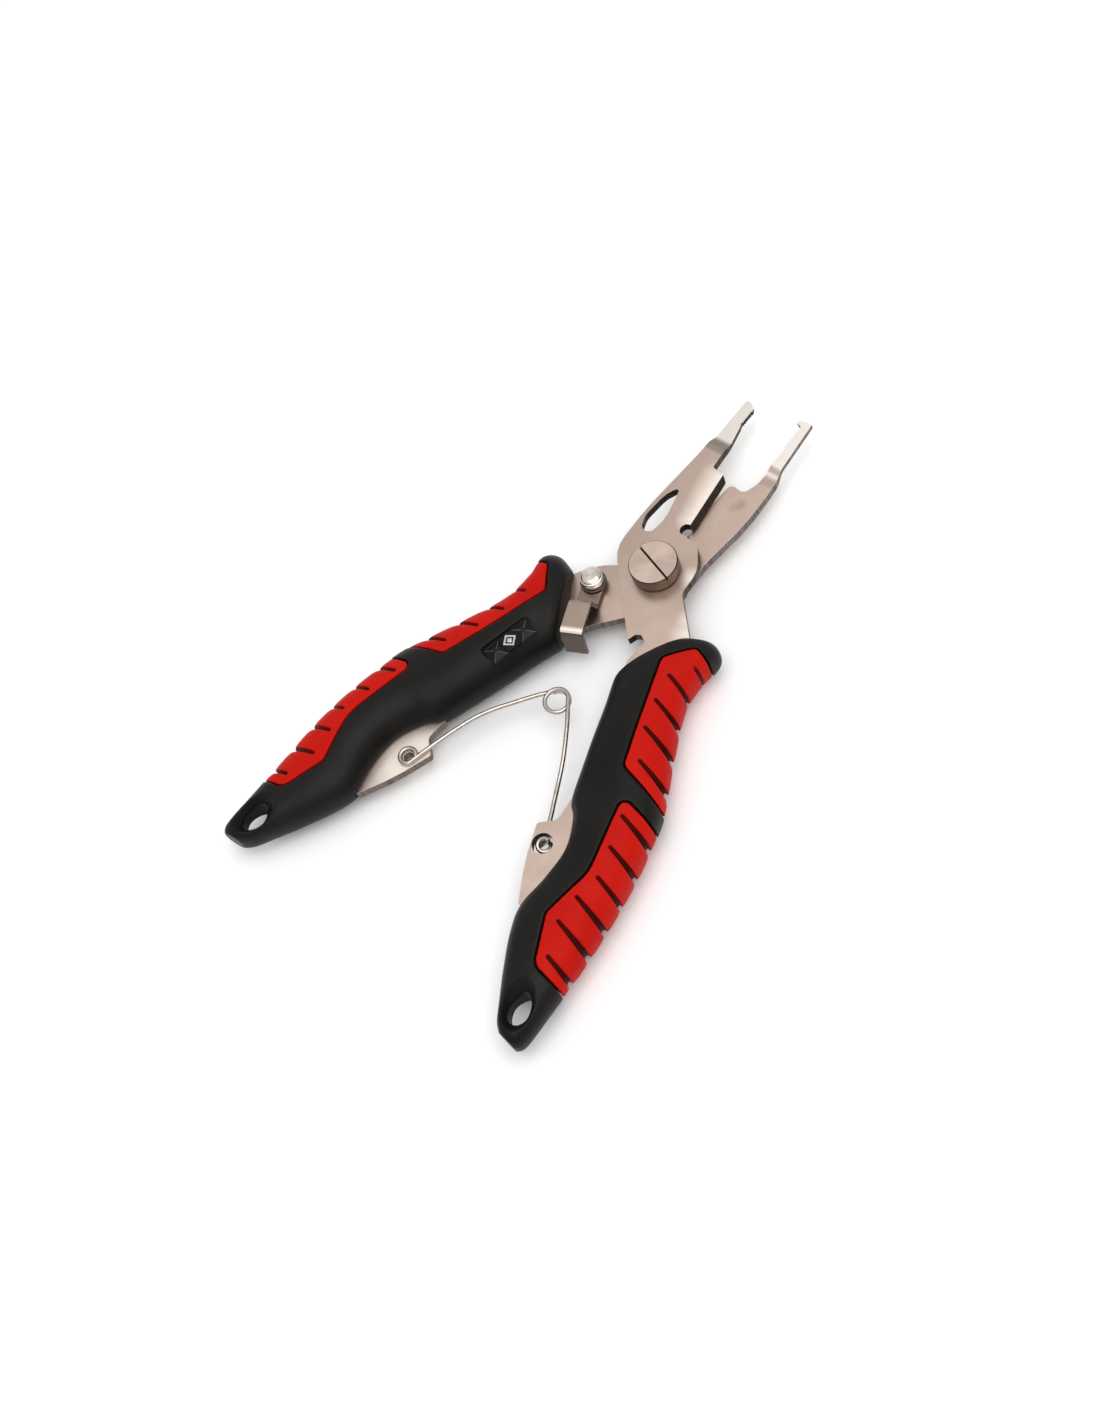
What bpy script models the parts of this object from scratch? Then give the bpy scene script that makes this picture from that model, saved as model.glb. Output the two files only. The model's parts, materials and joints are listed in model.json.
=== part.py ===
"""Lapped-plate fishing pliers: two stamped blades on one pivot, moulded handles, grips, spring and latch.

Metres, +Z up. The origin is on the pivot axis, in the plane the pliers lie on. +Y points to the jaws.
The front half (left jaw, right handle) lies on top of the rear half (right jaw, left handle).
Lengths below are in millimetres and mm() turns them into metres.
"""

import math

import bmesh
import bpy
from mathutils import Matrix, Vector

# Driving dimensions, in millimetres and degrees
MID_Z = 6.3  # plane between the two blades
PLATE = 2.2  # blade thickness
LAP_GAP = 0.3  # running gap between the blades
NOSE_STEP = (PLATE + LAP_GAP) / 2  # how far each nose is set over, so that both lie in one plane
NOSE_STEP_FROM = 33.2
NOSE_STEP_TO = 36.8
BORE_R = 2.8
RELIEF_R = 1.5  # round notch at the root of each cutting edge
CUTTER_BEVEL = 0.7  # width of the ground bevel along the front blade's cutting edge
NOSE_THIN = 0.9  # how much thinner the noses are than the blades, cut from below
PIVOT_HEAD_R = 5.65
PIVOT_HEAD_H = 3.6
PIVOT_SHANK_R = 2.5
SCREW_SLOT = 0.7
SCREW_SLOT_LONG = 13.0
SCREW_SLOT_DEEP = 1.0
SCREW_SLOT_ANGLE = -18.0
NUT_R = 5.65
WASHER_THICK = 0.5
RUN_GAP = 0.2  # height left free above and below a washer
GAP = 0.3  # clearance between neighbouring pieces

HANDLE_ROUNDNESS = 2.35  # 2 is an ellipse, more is squarer
RING_POINTS = 20
GRIP_SKIN = 1.5  # rubber above and below the core
GRIP_SIDE = 2.3  # rubber on the outer side of the core
GROOVE_WIDE = 0.8
GROOVE_LONG = 22.0
GROOVE_DEEP = 0.9
LANYARD = (39.9, -97.6)
LANYARD_R = 2.8
LANYARD_LONG = 2.4
FUNNEL_R = 4.3  # mouth of the hollow round each lanyard hole
FUNNEL_DEEP = 1.8
LANYARD_HALF = 4.3  # half the handle's thickness at the hole

LATCH_X = -11.5
LATCH_Y = -9.2
LATCH_ANGLE = -67.0  # direction of the lever from its screw
LATCH_THICK = 0.9
LATCH_WIDE = 5.4
LATCH_SHANK_R = 1.2
LATCH_BORE_R = 1.5  # bore of the lever, its washer and its nut
LATCH_PLATE_BORE_R = 1.6
LATCH_WASHER_R = 3.05
LATCH_WASHER_THICK = 0.4
LATCH_HEAD_R = 2.65
LATCH_HEAD_H = 2.6
LATCH_NUT_R = 2.5

WIRE_R = 0.5
COIL_R = 2.75
EYE_R = 1.85
CURL_R = 1.35
COIL_X = -0.1
COIL_Y = -37.0
TAB_HOLE_X = 20.4  # spring holes in the tabs of both blades, mirrored
TAB_HOLE_Y = -65.8
REAR_HOLE_R = 1.2
FRONT_HOLE_R = 2.4

BADGE_X = -15.3
BADGE_Y = -32.75
BADGE_ANGLE = -105.0
BADGE_LONG = 12.0
BADGE_WIDE = 4.9
BADGE_DEEP = 0.9
BADGE_TOP = 6.9  # height above the middle plane of the badge's rim

FILLET_STEP = 15.0  # degrees of arc for one edge

# Corners (x, y, fillet radius) down the inner edge of the front jaw to the shank
FRONT_JAW = [
    (-1.7, 27.9, 1.1),
    (0.1, 13.1, 0.2),
    (0.6, 10.5, 0.2),
    (4.0, 10.2, 4.5),
    (8.3, 4.6, 7.0),
    (8.6, -1.7, 2.5),
]
# Tang and tab inside a handle, from the outer edge round to the hook
TANG = [
    (20.6, -13.2, 3.0),
    (20.8, -20.0, 8.0),
    (27.0, -42.0, 20.0),
    (33.6, -66.0, 6.0),
    (31.2, -75.5, 3.0),
    (25.0, -79.6, 0.8),
    (19.9, -71.3, 30.0),
    (16.3, -62.7, 0.9),
    (19.8, -59.8, 2.2),
    (19.2, -54.6, 1.0),
    (21.3, -51.0, 2.0),
    (12.5, -30.0, 4.0),
]
# Sections across the right handle from its front face to its end, joined by a smooth curve:
# inner edge (x, y), outer edge (x, y) and half height; where it is thicker than the blades stand
# high, its middle rises so that its underside stays on the ground
HANDLE = [
    (8.9, -25.2, 17.6, -9.4, 5.4),
    (8.6, -26.7, 22.2, -8.0, 6.3),
    (9.8, -29.9, 25.5, -10.0, 6.5),
    (11.3, -33.5, 25.0, -15.0, 6.6),
    (13.8, -40.4, 25.8, -22.7, 6.7),
    (17.0, -48.8, 31.2, -33.9, 6.9),
    (19.5, -55.0, 36.9, -44.3, 6.9),
    (22.4, -58.0, 39.2, -50.6, 6.9),
    (25.6, -64.4, 41.7, -60.4, 6.9),
    (25.9, -72.0, 43.4, -71.2, 6.8),
    (25.0, -79.2, 44.3, -81.4, 6.3),
    (27.0, -85.2, 44.6, -87.2, 5.6),
    (31.0, -92.2, 44.8, -93.6, 4.9),
    (34.8, -98.0, 45.0, -99.3, 4.4),
    (37.1, -101.4, 44.8, -102.4, 3.9),
    (39.0, -103.1, 43.8, -103.8, 3.0),
]
SECTION_STEPS = 2  # sections made for each one listed
# Plan outlines of the two rubber grips, running out past the outer edge
GRIP_FRONT = [
    (21.5, -12.0, 1.2),
    (16.8, -18.2, 1.6),
    (22.4, -33.4, 30.0),
    (26.4, -43.4, 2.0),
    (33.0, -44.9, 12.0),
    (44.0, -48.0, 0.5),
    (44.0, -16.5, 0.5),
    (27.5, -13.8, 6.0),
]
GRIP_REAR = [
    (30.6, -49.0, 1.6),
    (35.4, -66.5, 12.0),
    (33.0, -78.2, 2.5),
    (37.6, -88.2, 3.0),
    (50.0, -90.0, 0.5),
    (50.0, -54.0, 0.5),
    (38.0, -50.2, 12.0),
]
# Inner ends of the grooves across each grip; each one runs outwards and back
GROOVES_FRONT = [(23.9, -15.9), (21.0, -20.8), (22.2, -27.1), (24.5, -33.6), (28.5, -40.5)]
GROOVES_REAR = [(33.4, -52.6), (35.6, -59.5), (37.6, -66.2), (36.6, -72.0), (36.4, -78.2), (39.0, -85.2)]
GROOVE_ANGLE = -13.0


def mm(value):
    return value * 0.001


def fillet(corners):
    """Points of a closed outline whose corners are rounded, each no more than its sides allow."""
    points = []
    count = len(corners)
    for i in range(count):
        here = Vector(corners[i][:2])
        back = Vector(corners[i - 1][:2]) - here
        ahead = Vector(corners[(i + 1) % count][:2]) - here
        turn = math.pi - back.angle(ahead)
        radius = corners[i][2]
        if turn < 0.02:
            points.append(here)
            continue
        longest = 0.49 * min(back.length, ahead.length)
        run = min(radius * math.tan(turn / 2), longest)
        radius = run / math.tan(turn / 2)
        inward = (back.normalized() + ahead.normalized()).normalized()
        centre = here + inward * (radius / math.cos(turn / 2))
        start = here + back.normalized() * run - centre
        steps = max(1, round(math.degrees(turn) / FILLET_STEP))
        side = 1.0 if back.cross(ahead) < 0 else -1.0
        for k in range(steps + 1):
            angle = side * turn * k / steps
            c = math.cos(angle)
            s = math.sin(angle)
            points.append(centre + Vector((start.x * c - start.y * s, start.x * s + start.y * c)))
    return points


def inset(points, distance):
    """The same outline moved inwards by a distance."""
    area = sum(points[i - 1].cross(points[i]) for i in range(len(points)))
    side = 1.0 if area > 0 else -1.0
    moved = []
    for i in range(len(points)):
        before = (points[i] - points[i - 1]).normalized()
        after = (points[(i + 1) % len(points)] - points[i]).normalized()
        along = (before + after).normalized()
        share = max(0.5, along.dot(before))
        moved.append(points[i] + Vector((-along.y, along.x)) * (side * distance / share))
    return moved


def mirrored(corners):
    """Corners seen in a mirror at x = 0, in reverse order so that they still run the same way."""
    return [(-c[0],) + tuple(c[1:]) for c in reversed(corners)]


def serration(x, y_from, y_to, teeth, depth):
    """Corners of small teeth along a jaw's inner edge, cut back from x by a depth."""
    pitch = (y_to - y_from) / teeth
    corners = []
    for k in range(teeth):
        corners.append((x + depth, y_from + pitch * k, 0.05))
        corners.append((x, y_from + pitch * (k + 0.5), 0.05))
    return corners


def material(name, color, roughness, metallic):
    made = bpy.data.materials.new(name)
    made.use_nodes = True
    shader = made.node_tree.nodes["Principled BSDF"]
    shader.inputs["Base Color"].default_value = color
    shader.inputs["Roughness"].default_value = roughness
    shader.inputs["Metallic"].default_value = metallic
    made.diffuse_color = color
    return made


def as_mesh(curve_object):
    """The object's evaluated shape as a mesh object that takes its name and place."""
    bpy.context.view_layer.update()
    graph = bpy.context.evaluated_depsgraph_get()
    mesh = bpy.data.meshes.new_from_object(curve_object.evaluated_get(graph))
    work = bmesh.new()
    work.from_mesh(mesh)
    bmesh.ops.remove_doubles(work, verts=work.verts, dist=1e-7)
    bmesh.ops.recalc_face_normals(work, faces=work.faces)
    work.to_mesh(mesh)
    work.free()
    name = curve_object.name
    matrix = curve_object.matrix_world.copy()
    home = curve_object.users_collection[0]
    bpy.data.objects.remove(curve_object)
    made = bpy.data.objects.new(name, mesh)
    made.matrix_world = matrix
    home.objects.link(made)
    return made


def slab(name, points, low, high, home):
    """A flat outline extruded from one height to another, as a mesh object."""
    curve = bpy.data.curves.new(name, "CURVE")
    curve.dimensions = "2D"
    curve.fill_mode = "BOTH"
    curve.extrude = mm(high - low) / 2
    spline = curve.splines.new("POLY")
    spline.points.add(len(points) - 1)
    for target, point in zip(spline.points, points):
        target.co = (mm(point[0]), mm(point[1]), 0.0, 1.0)
    spline.use_cyclic_u = True
    made = bpy.data.objects.new(name, curve)
    made.location = (0.0, 0.0, mm(low + high) / 2)
    home.objects.link(made)
    return as_mesh(made)


def disc(name, x, y, low, high, radius, home, sides=32):
    """An upright cylinder between two heights."""
    mesh = bpy.data.meshes.new(name)
    work = bmesh.new()
    bmesh.ops.create_cone(
        work,
        cap_ends=True,
        segments=sides,
        radius1=mm(radius),
        radius2=mm(radius),
        depth=mm(high - low),
    )
    work.to_mesh(mesh)
    work.free()
    made = bpy.data.objects.new(name, mesh)
    made.location = (mm(x), mm(y), mm(low + high) / 2)
    home.objects.link(made)
    return made


def turned(name, x, y, profile, home, steps=40):
    """A solid of revolution about an upright axis: profile is (radius, height) from top to bottom."""
    mesh = bpy.data.meshes.new(name)
    work = bmesh.new()
    verts = [work.verts.new((mm(radius), 0.0, mm(height))) for radius, height in profile]
    for a, b in zip(verts, verts[1:]):
        work.edges.new((a, b))
    work.to_mesh(mesh)
    work.free()
    made = bpy.data.objects.new(name, mesh)
    made.location = (mm(x), mm(y), 0.0)
    home.objects.link(made)
    screw = made.modifiers.new("turn", "SCREW")
    screw.axis = "Z"
    screw.steps = steps
    screw.render_steps = steps
    screw.use_merge_vertices = True
    screw.merge_threshold = 0.000001
    return made


def tube(name, points, radius, home):
    """A round wire along points, with closed ends."""
    curve = bpy.data.curves.new(name, "CURVE")
    curve.dimensions = "3D"
    curve.bevel_depth = mm(radius)
    curve.bevel_resolution = 2
    curve.use_fill_caps = True
    spline = curve.splines.new("POLY")
    spline.points.add(len(points) - 1)
    for target, point in zip(spline.points, points):
        target.co = (mm(point[0]), mm(point[1]), mm(point[2]), 1.0)
    made = bpy.data.objects.new(name, curve)
    home.objects.link(made)
    return made


def joined(kind, target, other):
    """Adds a Boolean between two objects."""
    step = target.modifiers.new(kind.lower() + "_" + other.name, "BOOLEAN")
    step.operation = kind
    step.object = other
    step.solver = "EXACT"


def as_cutter(made):
    made.hide_render = True
    made.display_type = "WIRE"
    return made


def sliced(made, axis, places):
    """Adds edge loops across a mesh at the given places along one axis, in millimetres."""
    work = bmesh.new()
    work.from_mesh(made.data)
    for place in places:
        everything = work.verts[:] + work.edges[:] + work.faces[:]
        bmesh.ops.bisect_plane(
            work,
            geom=everything,
            dist=1e-8,
            plane_co=Vector(axis) * mm(place),
            plane_no=Vector(axis),
        )
    work.to_mesh(made.data)
    work.free()


def smoothstep(value, low, high):
    share = min(1.0, max(0.0, (value - low) / (high - low)))
    return share * share * (3.0 - 2.0 * share)


def set_over(made, distance):
    """Bends a blade's nose up or down by a distance, over a short smooth step."""
    count = 6
    width = (NOSE_STEP_TO - NOSE_STEP_FROM) / count
    sliced(made, (0.0, 1.0, 0.0), [NOSE_STEP_FROM + width * k for k in range(count + 1)])
    underside = made.location.z - mm(PLATE) / 2
    for vertex in made.data.vertices:
        share = smoothstep(vertex.co.y * 1000.0, NOSE_STEP_FROM, NOSE_STEP_TO)
        if vertex.co.z + made.location.z < underside + mm(0.1):
            vertex.co.z += mm(NOSE_THIN) * share
        vertex.co.z += mm(distance) * share


def smooth(made, angle=35.0):
    made.data.shade_smooth()
    made.data.set_sharp_from_angle(angle=math.radians(angle))


def front_outline():
    tip = [
        (-7.6, 41.0, 0.3),
        (-6.2, 34.6, 4.0),
        (-5.7, 28.6, 0.6),
    ]
    teeth = serration(-7.75, 42.3, 46.3, 6, -0.3)
    hook = [
        (8.5, -21.6, 3.0),
        (9.2, -15.9, 0.8),
        (7.3, -14.8, 0.6),
        (6.1, -15.4, 0.4),
        (5.4, -17.35, 0.2),
        (-12.1, 0.1, 9.0),
        (-12.4, 12.0, 40.0),
        (-10.9, 30.4, 20.0),
        (-10.85, 47.9, 0.9),
        (-9.9, 48.15, 0.9),
        (-8.0, 46.9, 0.7),
    ]
    return fillet(list(reversed(teeth)) + tip + FRONT_JAW + TANG + hook)


def rear_outline():
    tooth = [
        (6.7, 49.75, 0.25),
        (7.85, 36.0, 12.0),
        (8.5, 30.0, 12.0),
        (8.8, 21.0, 30.0),
        (7.2, 8.0, 10.0),
        (7.2, -5.0, 5.0),
        (-5.2, -17.4, 4.0),
        (-8.5, -21.6, 3.0),
    ]
    shank = [
        (-14.4, -4.9, 8.0),
        (-8.8, -1.5, 3.0),
        (-8.3, 4.6, 7.0),
        (-4.0, 10.2, 4.5),
        (-1.8, 13.4, 3.0),
        (-0.6, 28.1, 1.2),
        (3.3, 27.3, 1.6),
        (4.7, 31.0, 4.0),
        (5.2, 40.6, 2.0),
    ]
    teeth = serration(4.65, 41.4, 45.4, 6, 0.3)
    beak = [
        (4.8, 48.0, 0.4),
        (3.2, 48.5, 0.15),
        (3.4, 49.2, 0.3),
        (5.2, 49.7, 1.0),
    ]
    return fillet(tooth + mirrored(TANG) + shank + teeth + beak)


def blade(name, points, low, step, home):
    made = slab(name, points, low, low + PLATE, home)
    set_over(made, step)
    return made


def window_points():
    corners = [
        (-10.3, 7.2, 1.6),
        (-11.5, 10.6, 4.0),
        (-10.9, 17.5, 8.0),
        (-8.9, 20.6, 0.6),
        (-6.8, 12.2, 6.0),
        (-7.5, 7.2, 1.8),
    ]
    return fillet(corners)


def wedge(name, start, end, near, far, home):
    """A long triangular cutter along a line in plan.

    near and far are corners of its section, as (distance right of the line, height). The third
    corner lies at the far one's distance and the near one's height.
    """
    along = (Vector(end) - Vector(start)).normalized()
    right = Vector((along.y, -along.x))
    section = [near, far, (far[0], near[1])]
    work = bmesh.new()
    rings = []
    for place in (Vector(start), Vector(end)):
        ring = []
        for reach, height in section:
            point = place + right * reach
            ring.append(work.verts.new((mm(point.x), mm(point.y), mm(height))))
        rings.append(ring)
    for k in range(3):
        after = (k + 1) % 3
        work.faces.new((rings[0][k], rings[0][after], rings[1][after], rings[1][k]))
    work.faces.new(rings[0])
    work.faces.new(rings[1])
    bmesh.ops.recalc_face_normals(work, faces=work.faces)
    mesh = bpy.data.meshes.new(name)
    work.to_mesh(mesh)
    work.free()
    made = bpy.data.objects.new(name, mesh)
    home.objects.link(made)
    return as_cutter(made)


def blades(parts, cutters, steel):
    front_low = MID_Z + LAP_GAP / 2
    rear_low = MID_Z - LAP_GAP / 2 - PLATE
    front = blade("front_blade", front_outline(), front_low, -NOSE_STEP, parts)
    rear = blade("rear_blade", rear_outline(), rear_low, NOSE_STEP, parts)
    top = MID_Z + 6.0
    low = MID_Z - 6.0
    window = as_cutter(slab("window_cutter", window_points(), low, top, cutters))
    joined("DIFFERENCE", front, window)
    relief = as_cutter(disc("relief_cutter", -0.75, 12.0, low, top, RELIEF_R, cutters, 20))
    joined("DIFFERENCE", front, relief)
    edge_top = front_low + PLATE + 0.1
    slope = CUTTER_BEVEL / (PLATE - 0.4)
    edge_near = (-CUTTER_BEVEL - 0.1 * slope, edge_top)
    edge_far = (1.0, front_low + 0.4 - 1.0 / slope)
    edge = wedge("edge_cutter", (0.1, 12.6), (-1.7, 28.4), edge_near, edge_far, cutters)
    joined("DIFFERENCE", front, edge)
    rear_relief = disc("rear_relief_cutter", -2.1, 12.7, low, top, RELIEF_R, cutters, 20)
    joined("DIFFERENCE", rear, as_cutter(rear_relief))
    front_hole = disc("front_hole_cutter", TAB_HOLE_X, TAB_HOLE_Y, low, top, FRONT_HOLE_R, cutters, 24)
    joined("DIFFERENCE", front, as_cutter(front_hole))
    rear_hole = disc("rear_hole_cutter", -TAB_HOLE_X, TAB_HOLE_Y, low, top, REAR_HOLE_R, cutters, 20)
    joined("DIFFERENCE", rear, as_cutter(rear_hole))
    bore = as_cutter(disc("bore_cutter", 0.0, 0.0, low, top, BORE_R, cutters, 32))
    joined("DIFFERENCE", front, bore)
    joined("DIFFERENCE", rear, bore)
    latch_bore = disc("latch_bore_cutter", LATCH_X, LATCH_Y, low, top, LATCH_PLATE_BORE_R, cutters, 20)
    joined("DIFFERENCE", rear, as_cutter(latch_bore))
    for made in (front, rear):
        made.data.materials.append(steel)
        smooth(made)
    return front, rear


def pivot(parts, cutters, steel):
    head_low = MID_Z + LAP_GAP / 2 + PLATE + RUN_GAP
    head_top = head_low + PIVOT_HEAD_H
    profile = [
        (0.0, head_top),
        (PIVOT_HEAD_R - 0.35, head_top),
        (PIVOT_HEAD_R, head_top - 0.35),
        (PIVOT_HEAD_R, head_low),
        (PIVOT_SHANK_R, head_low),
        (PIVOT_SHANK_R, 1.6),
        (0.0, 1.6),
    ]
    screw = turned("pivot_screw", 0.0, 0.0, profile, parts, 48)
    slot = box(
        "pivot_slot_cutter", 0.0, 0.0, head_top - SCREW_SLOT_DEEP, head_top + 1.0,
        SCREW_SLOT_LONG, SCREW_SLOT, SCREW_SLOT_ANGLE, cutters,
    )
    joined("DIFFERENCE", screw, as_cutter(slot))
    washer_top = MID_Z - LAP_GAP / 2 - PLATE - RUN_GAP
    washer_low = washer_top - WASHER_THICK
    inner = PIVOT_SHANK_R + GAP
    washer = ring("pivot_washer", 0.0, 0.0, washer_low, washer_top, inner, NUT_R - 0.5, parts)
    nut_top = washer_low - RUN_GAP
    profile = [
        (inner, nut_top),
        (NUT_R - 0.3, nut_top),
        (NUT_R, nut_top - 0.3),
        (NUT_R, 0.5),
        (NUT_R - 0.5, 0.0),
        (0.0, 0.0),
    ]
    nut = turned("pivot_nut", 0.0, 0.0, profile + [(0.0, 1.2), (inner, 1.2), (inner, nut_top)], parts, 48)
    for made in (screw, nut, washer):
        made.data.materials.append(steel)
        smooth(made)


def ring(name, x, y, low, high, inner, outer, home):
    """A flat washer."""
    profile = [(inner, high), (outer, high), (outer, low), (inner, low), (inner, high)]
    return turned(name, x, y, profile, home, 32)


def stretch_to_box(long, wide, radius):
    """Turns a four-sided disc of a radius into a box of a length and width."""
    side = radius * math.sqrt(2.0)
    square = Matrix.Rotation(math.radians(45.0), 4, "Z")
    return Matrix.Diagonal((long / side, wide / side, 1.0, 1.0)) @ square


def box(name, x, y, low, high, long, wide, angle, home):
    """A box with its long side at an angle in plan."""
    made = disc(name, x, y, low, high, 5.0, home, 4)
    made.data.transform(stretch_to_box(long, wide, 5.0))
    made.rotation_euler.z = math.radians(angle)
    return made


def handle_body(name, side, home, outer_cut=0.0, height_cut=0.0):
    """The handle's outer form, lofted through its cross-sections, or a smaller one for its core."""
    mesh = bpy.data.meshes.new(name)
    work = bmesh.new()
    rings = []
    for inner_x, inner_y, outer_x, outer_y, half_height in curved(HANDLE, SECTION_STEPS):
        inner = Vector((side * inner_x, inner_y))
        outer = Vector((side * outer_x, outer_y))
        outer += (inner - outer).normalized() * outer_cut
        middle = (inner + outer) / 2
        reach = (outer - inner) / 2
        height = half_height - height_cut
        middle_z = max(MID_Z, half_height)
        ring = []
        for k in range(RING_POINTS):
            angle = 2.0 * math.pi * k / RING_POINTS
            across = rounded_power(math.cos(angle))
            up = rounded_power(math.sin(angle))
            place = middle + reach * across
            ring.append(work.verts.new((mm(place.x), mm(place.y), mm(middle_z + height * up))))
        rings.append(ring)
    for first, second in zip(rings, rings[1:]):
        for k in range(RING_POINTS):
            after = (k + 1) % RING_POINTS
            work.faces.new((first[k], first[after], second[after], second[k]))
    work.faces.new(rings[0])
    work.faces.new(rings[-1])
    bmesh.ops.recalc_face_normals(work, faces=work.faces)
    work.to_mesh(mesh)
    work.free()
    made = bpy.data.objects.new(name, mesh)
    home.objects.link(made)
    return made


def rounded_power(value):
    return math.copysign(abs(value) ** (2.0 / HANDLE_ROUNDNESS), value)


def curved(rows, steps):
    """Rows of numbers with more rows between them, along a Catmull-Rom curve through them all."""
    made = []
    last = len(rows) - 1
    for i in range(last):
        four = [rows[max(0, i - 1)], rows[i], rows[i + 1], rows[min(last, i + 2)]]
        for k in range(steps):
            t = k / steps
            weights = (
                -0.5 * t + t * t - 0.5 * t ** 3,
                1.0 - 2.5 * t * t + 1.5 * t ** 3,
                0.5 * t + 2.0 * t * t - 1.5 * t ** 3,
                -0.5 * t * t + 0.5 * t ** 3,
            )
            made.append(tuple(sum(w * row[n] for w, row in zip(weights, four)) for n in range(5)))
    made.append(rows[last])
    return made


def grip_region(name, corners, grow, home):
    """Upright prism over a grip's plan outline, grown or shrunk a little."""
    points = inset(fillet(corners), -grow)
    return slab(name, points, -3.0, 2 * MID_Z + 3.0, home)


def grooves(name, starts, side, home):
    """One cutter that scores every groove of a grip, on its top, side and bottom."""
    cutter = None
    for number, (x, y) in enumerate(starts):
        angle = GROOVE_ANGLE
        middle_x = x + GROOVE_LONG / 2 * math.cos(math.radians(angle))
        middle_y = y + GROOVE_LONG / 2 * math.sin(math.radians(angle))
        part_name = "%s_%d" % (name, number)
        bar_angle = angle if side > 0 else 180.0 - angle
        bar = box(
            part_name, side * middle_x, middle_y, -1.0, 2 * MID_Z + 3.0,
            GROOVE_LONG, GROOVE_WIDE, bar_angle, home,
        )
        as_cutter(bar)
        if cutter is None:
            cutter = bar
        else:
            joined("UNION", cutter, bar)
    return cutter


def grip(name, corners, starts, side, home, cutters, rubber):
    """A C-shaped rubber grip round the outer side of a handle, with grooves scored in its skin."""
    plan = corners if side > 0 else mirrored(corners)
    made = handle_body(name, side, home)
    region = as_cutter(grip_region(name + "_region", plan, -GAP / 2, cutters))
    joined("INTERSECT", made, region)
    core = handle_body(name + "_core", side, cutters, GRIP_SIDE - GAP / 2, GRIP_SKIN)
    joined("DIFFERENCE", made, as_cutter(core))
    bars = grooves(name + "_groove", starts, side, cutters)
    keep = handle_body(name + "_groove_floor", side, cutters, GROOVE_DEEP, GROOVE_DEEP)
    joined("DIFFERENCE", bars, as_cutter(keep))
    joined("DIFFERENCE", made, bars)
    made.data.materials.append(rubber)
    smooth(made)
    return made


def pocket(name, corners, side, cutters):
    """Cutter for a grip's pocket: its plan outline less the core that the handle keeps."""
    plan = corners if side > 0 else mirrored(corners)
    made = grip_region(name, plan, GAP / 2, cutters)
    core = handle_body(name + "_core", side, cutters, GRIP_SIDE + GAP / 2, GRIP_SKIN + GAP)
    joined("DIFFERENCE", made, as_cutter(core))
    return as_cutter(made)


def shell(name, side, blade_points, blade_low, parts, cutters, plastic):
    """A moulded handle: outer form, slot for the blade's tang, grip pockets and lanyard hole."""
    made = handle_body(name, side, parts)
    slot_points = inset(blade_points, -GAP)
    slot = slab(name + "_slot", slot_points, blade_low - GAP, blade_low + PLATE + GAP, cutters)
    joined("DIFFERENCE", made, as_cutter(slot))
    for end, corners in (("front", GRIP_FRONT), ("rear", GRIP_REAR)):
        joined("DIFFERENCE", made, pocket(name + "_pocket_" + end, corners, side, cutters))
    hole = [
        (LANYARD[0] - 1.0, LANYARD[1] + LANYARD_LONG + LANYARD_R, 9.0),
        (LANYARD[0] - LANYARD_R, LANYARD[1], 9.0),
        (LANYARD[0], LANYARD[1] - LANYARD_LONG - 1.0, 9.0),
        (LANYARD[0] + LANYARD_R, LANYARD[1] - 1.0, 9.0),
        (LANYARD[0] + 1.6, LANYARD[1] + LANYARD_LONG + 1.0, 9.0),
    ]
    eye = slab(name + "_eye", fillet(hole if side > 0 else mirrored(hole)), -1.0, 2 * MID_Z + 1.0, cutters)
    joined("DIFFERENCE", made, as_cutter(eye))
    for up in (1, -1):
        joined("DIFFERENCE", made, funnel(name + "_funnel", side, up, cutters))
    made.data.materials.append(plastic)
    smooth(made)
    return made


def funnel(name, side, up, home):
    """Cutter for the hollow that narrows towards the lanyard hole, above or below."""
    mesh = bpy.data.meshes.new(name)
    work = bmesh.new()
    slope = FUNNEL_R / (2 * FUNNEL_DEEP)
    bmesh.ops.create_cone(
        work,
        cap_ends=True,
        segments=24,
        radius1=mm(FUNNEL_R - slope * FUNNEL_DEEP),
        radius2=mm(FUNNEL_R + slope * FUNNEL_DEEP),
        depth=mm(2 * FUNNEL_DEEP),
    )
    work.to_mesh(mesh)
    work.free()
    mesh.transform(Matrix.Diagonal((1.0, 1.25, 1.0, 1.0)))
    made = bpy.data.objects.new(name, mesh)
    made.location = (mm(side * LANYARD[0]), mm(LANYARD[1]), mm(MID_Z + up * LANYARD_HALF))
    if up < 0:
        made.rotation_euler.x = math.pi
    made.rotation_euler.z = math.radians(side * 25.0)
    home.objects.link(made)
    return as_cutter(made)


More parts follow.
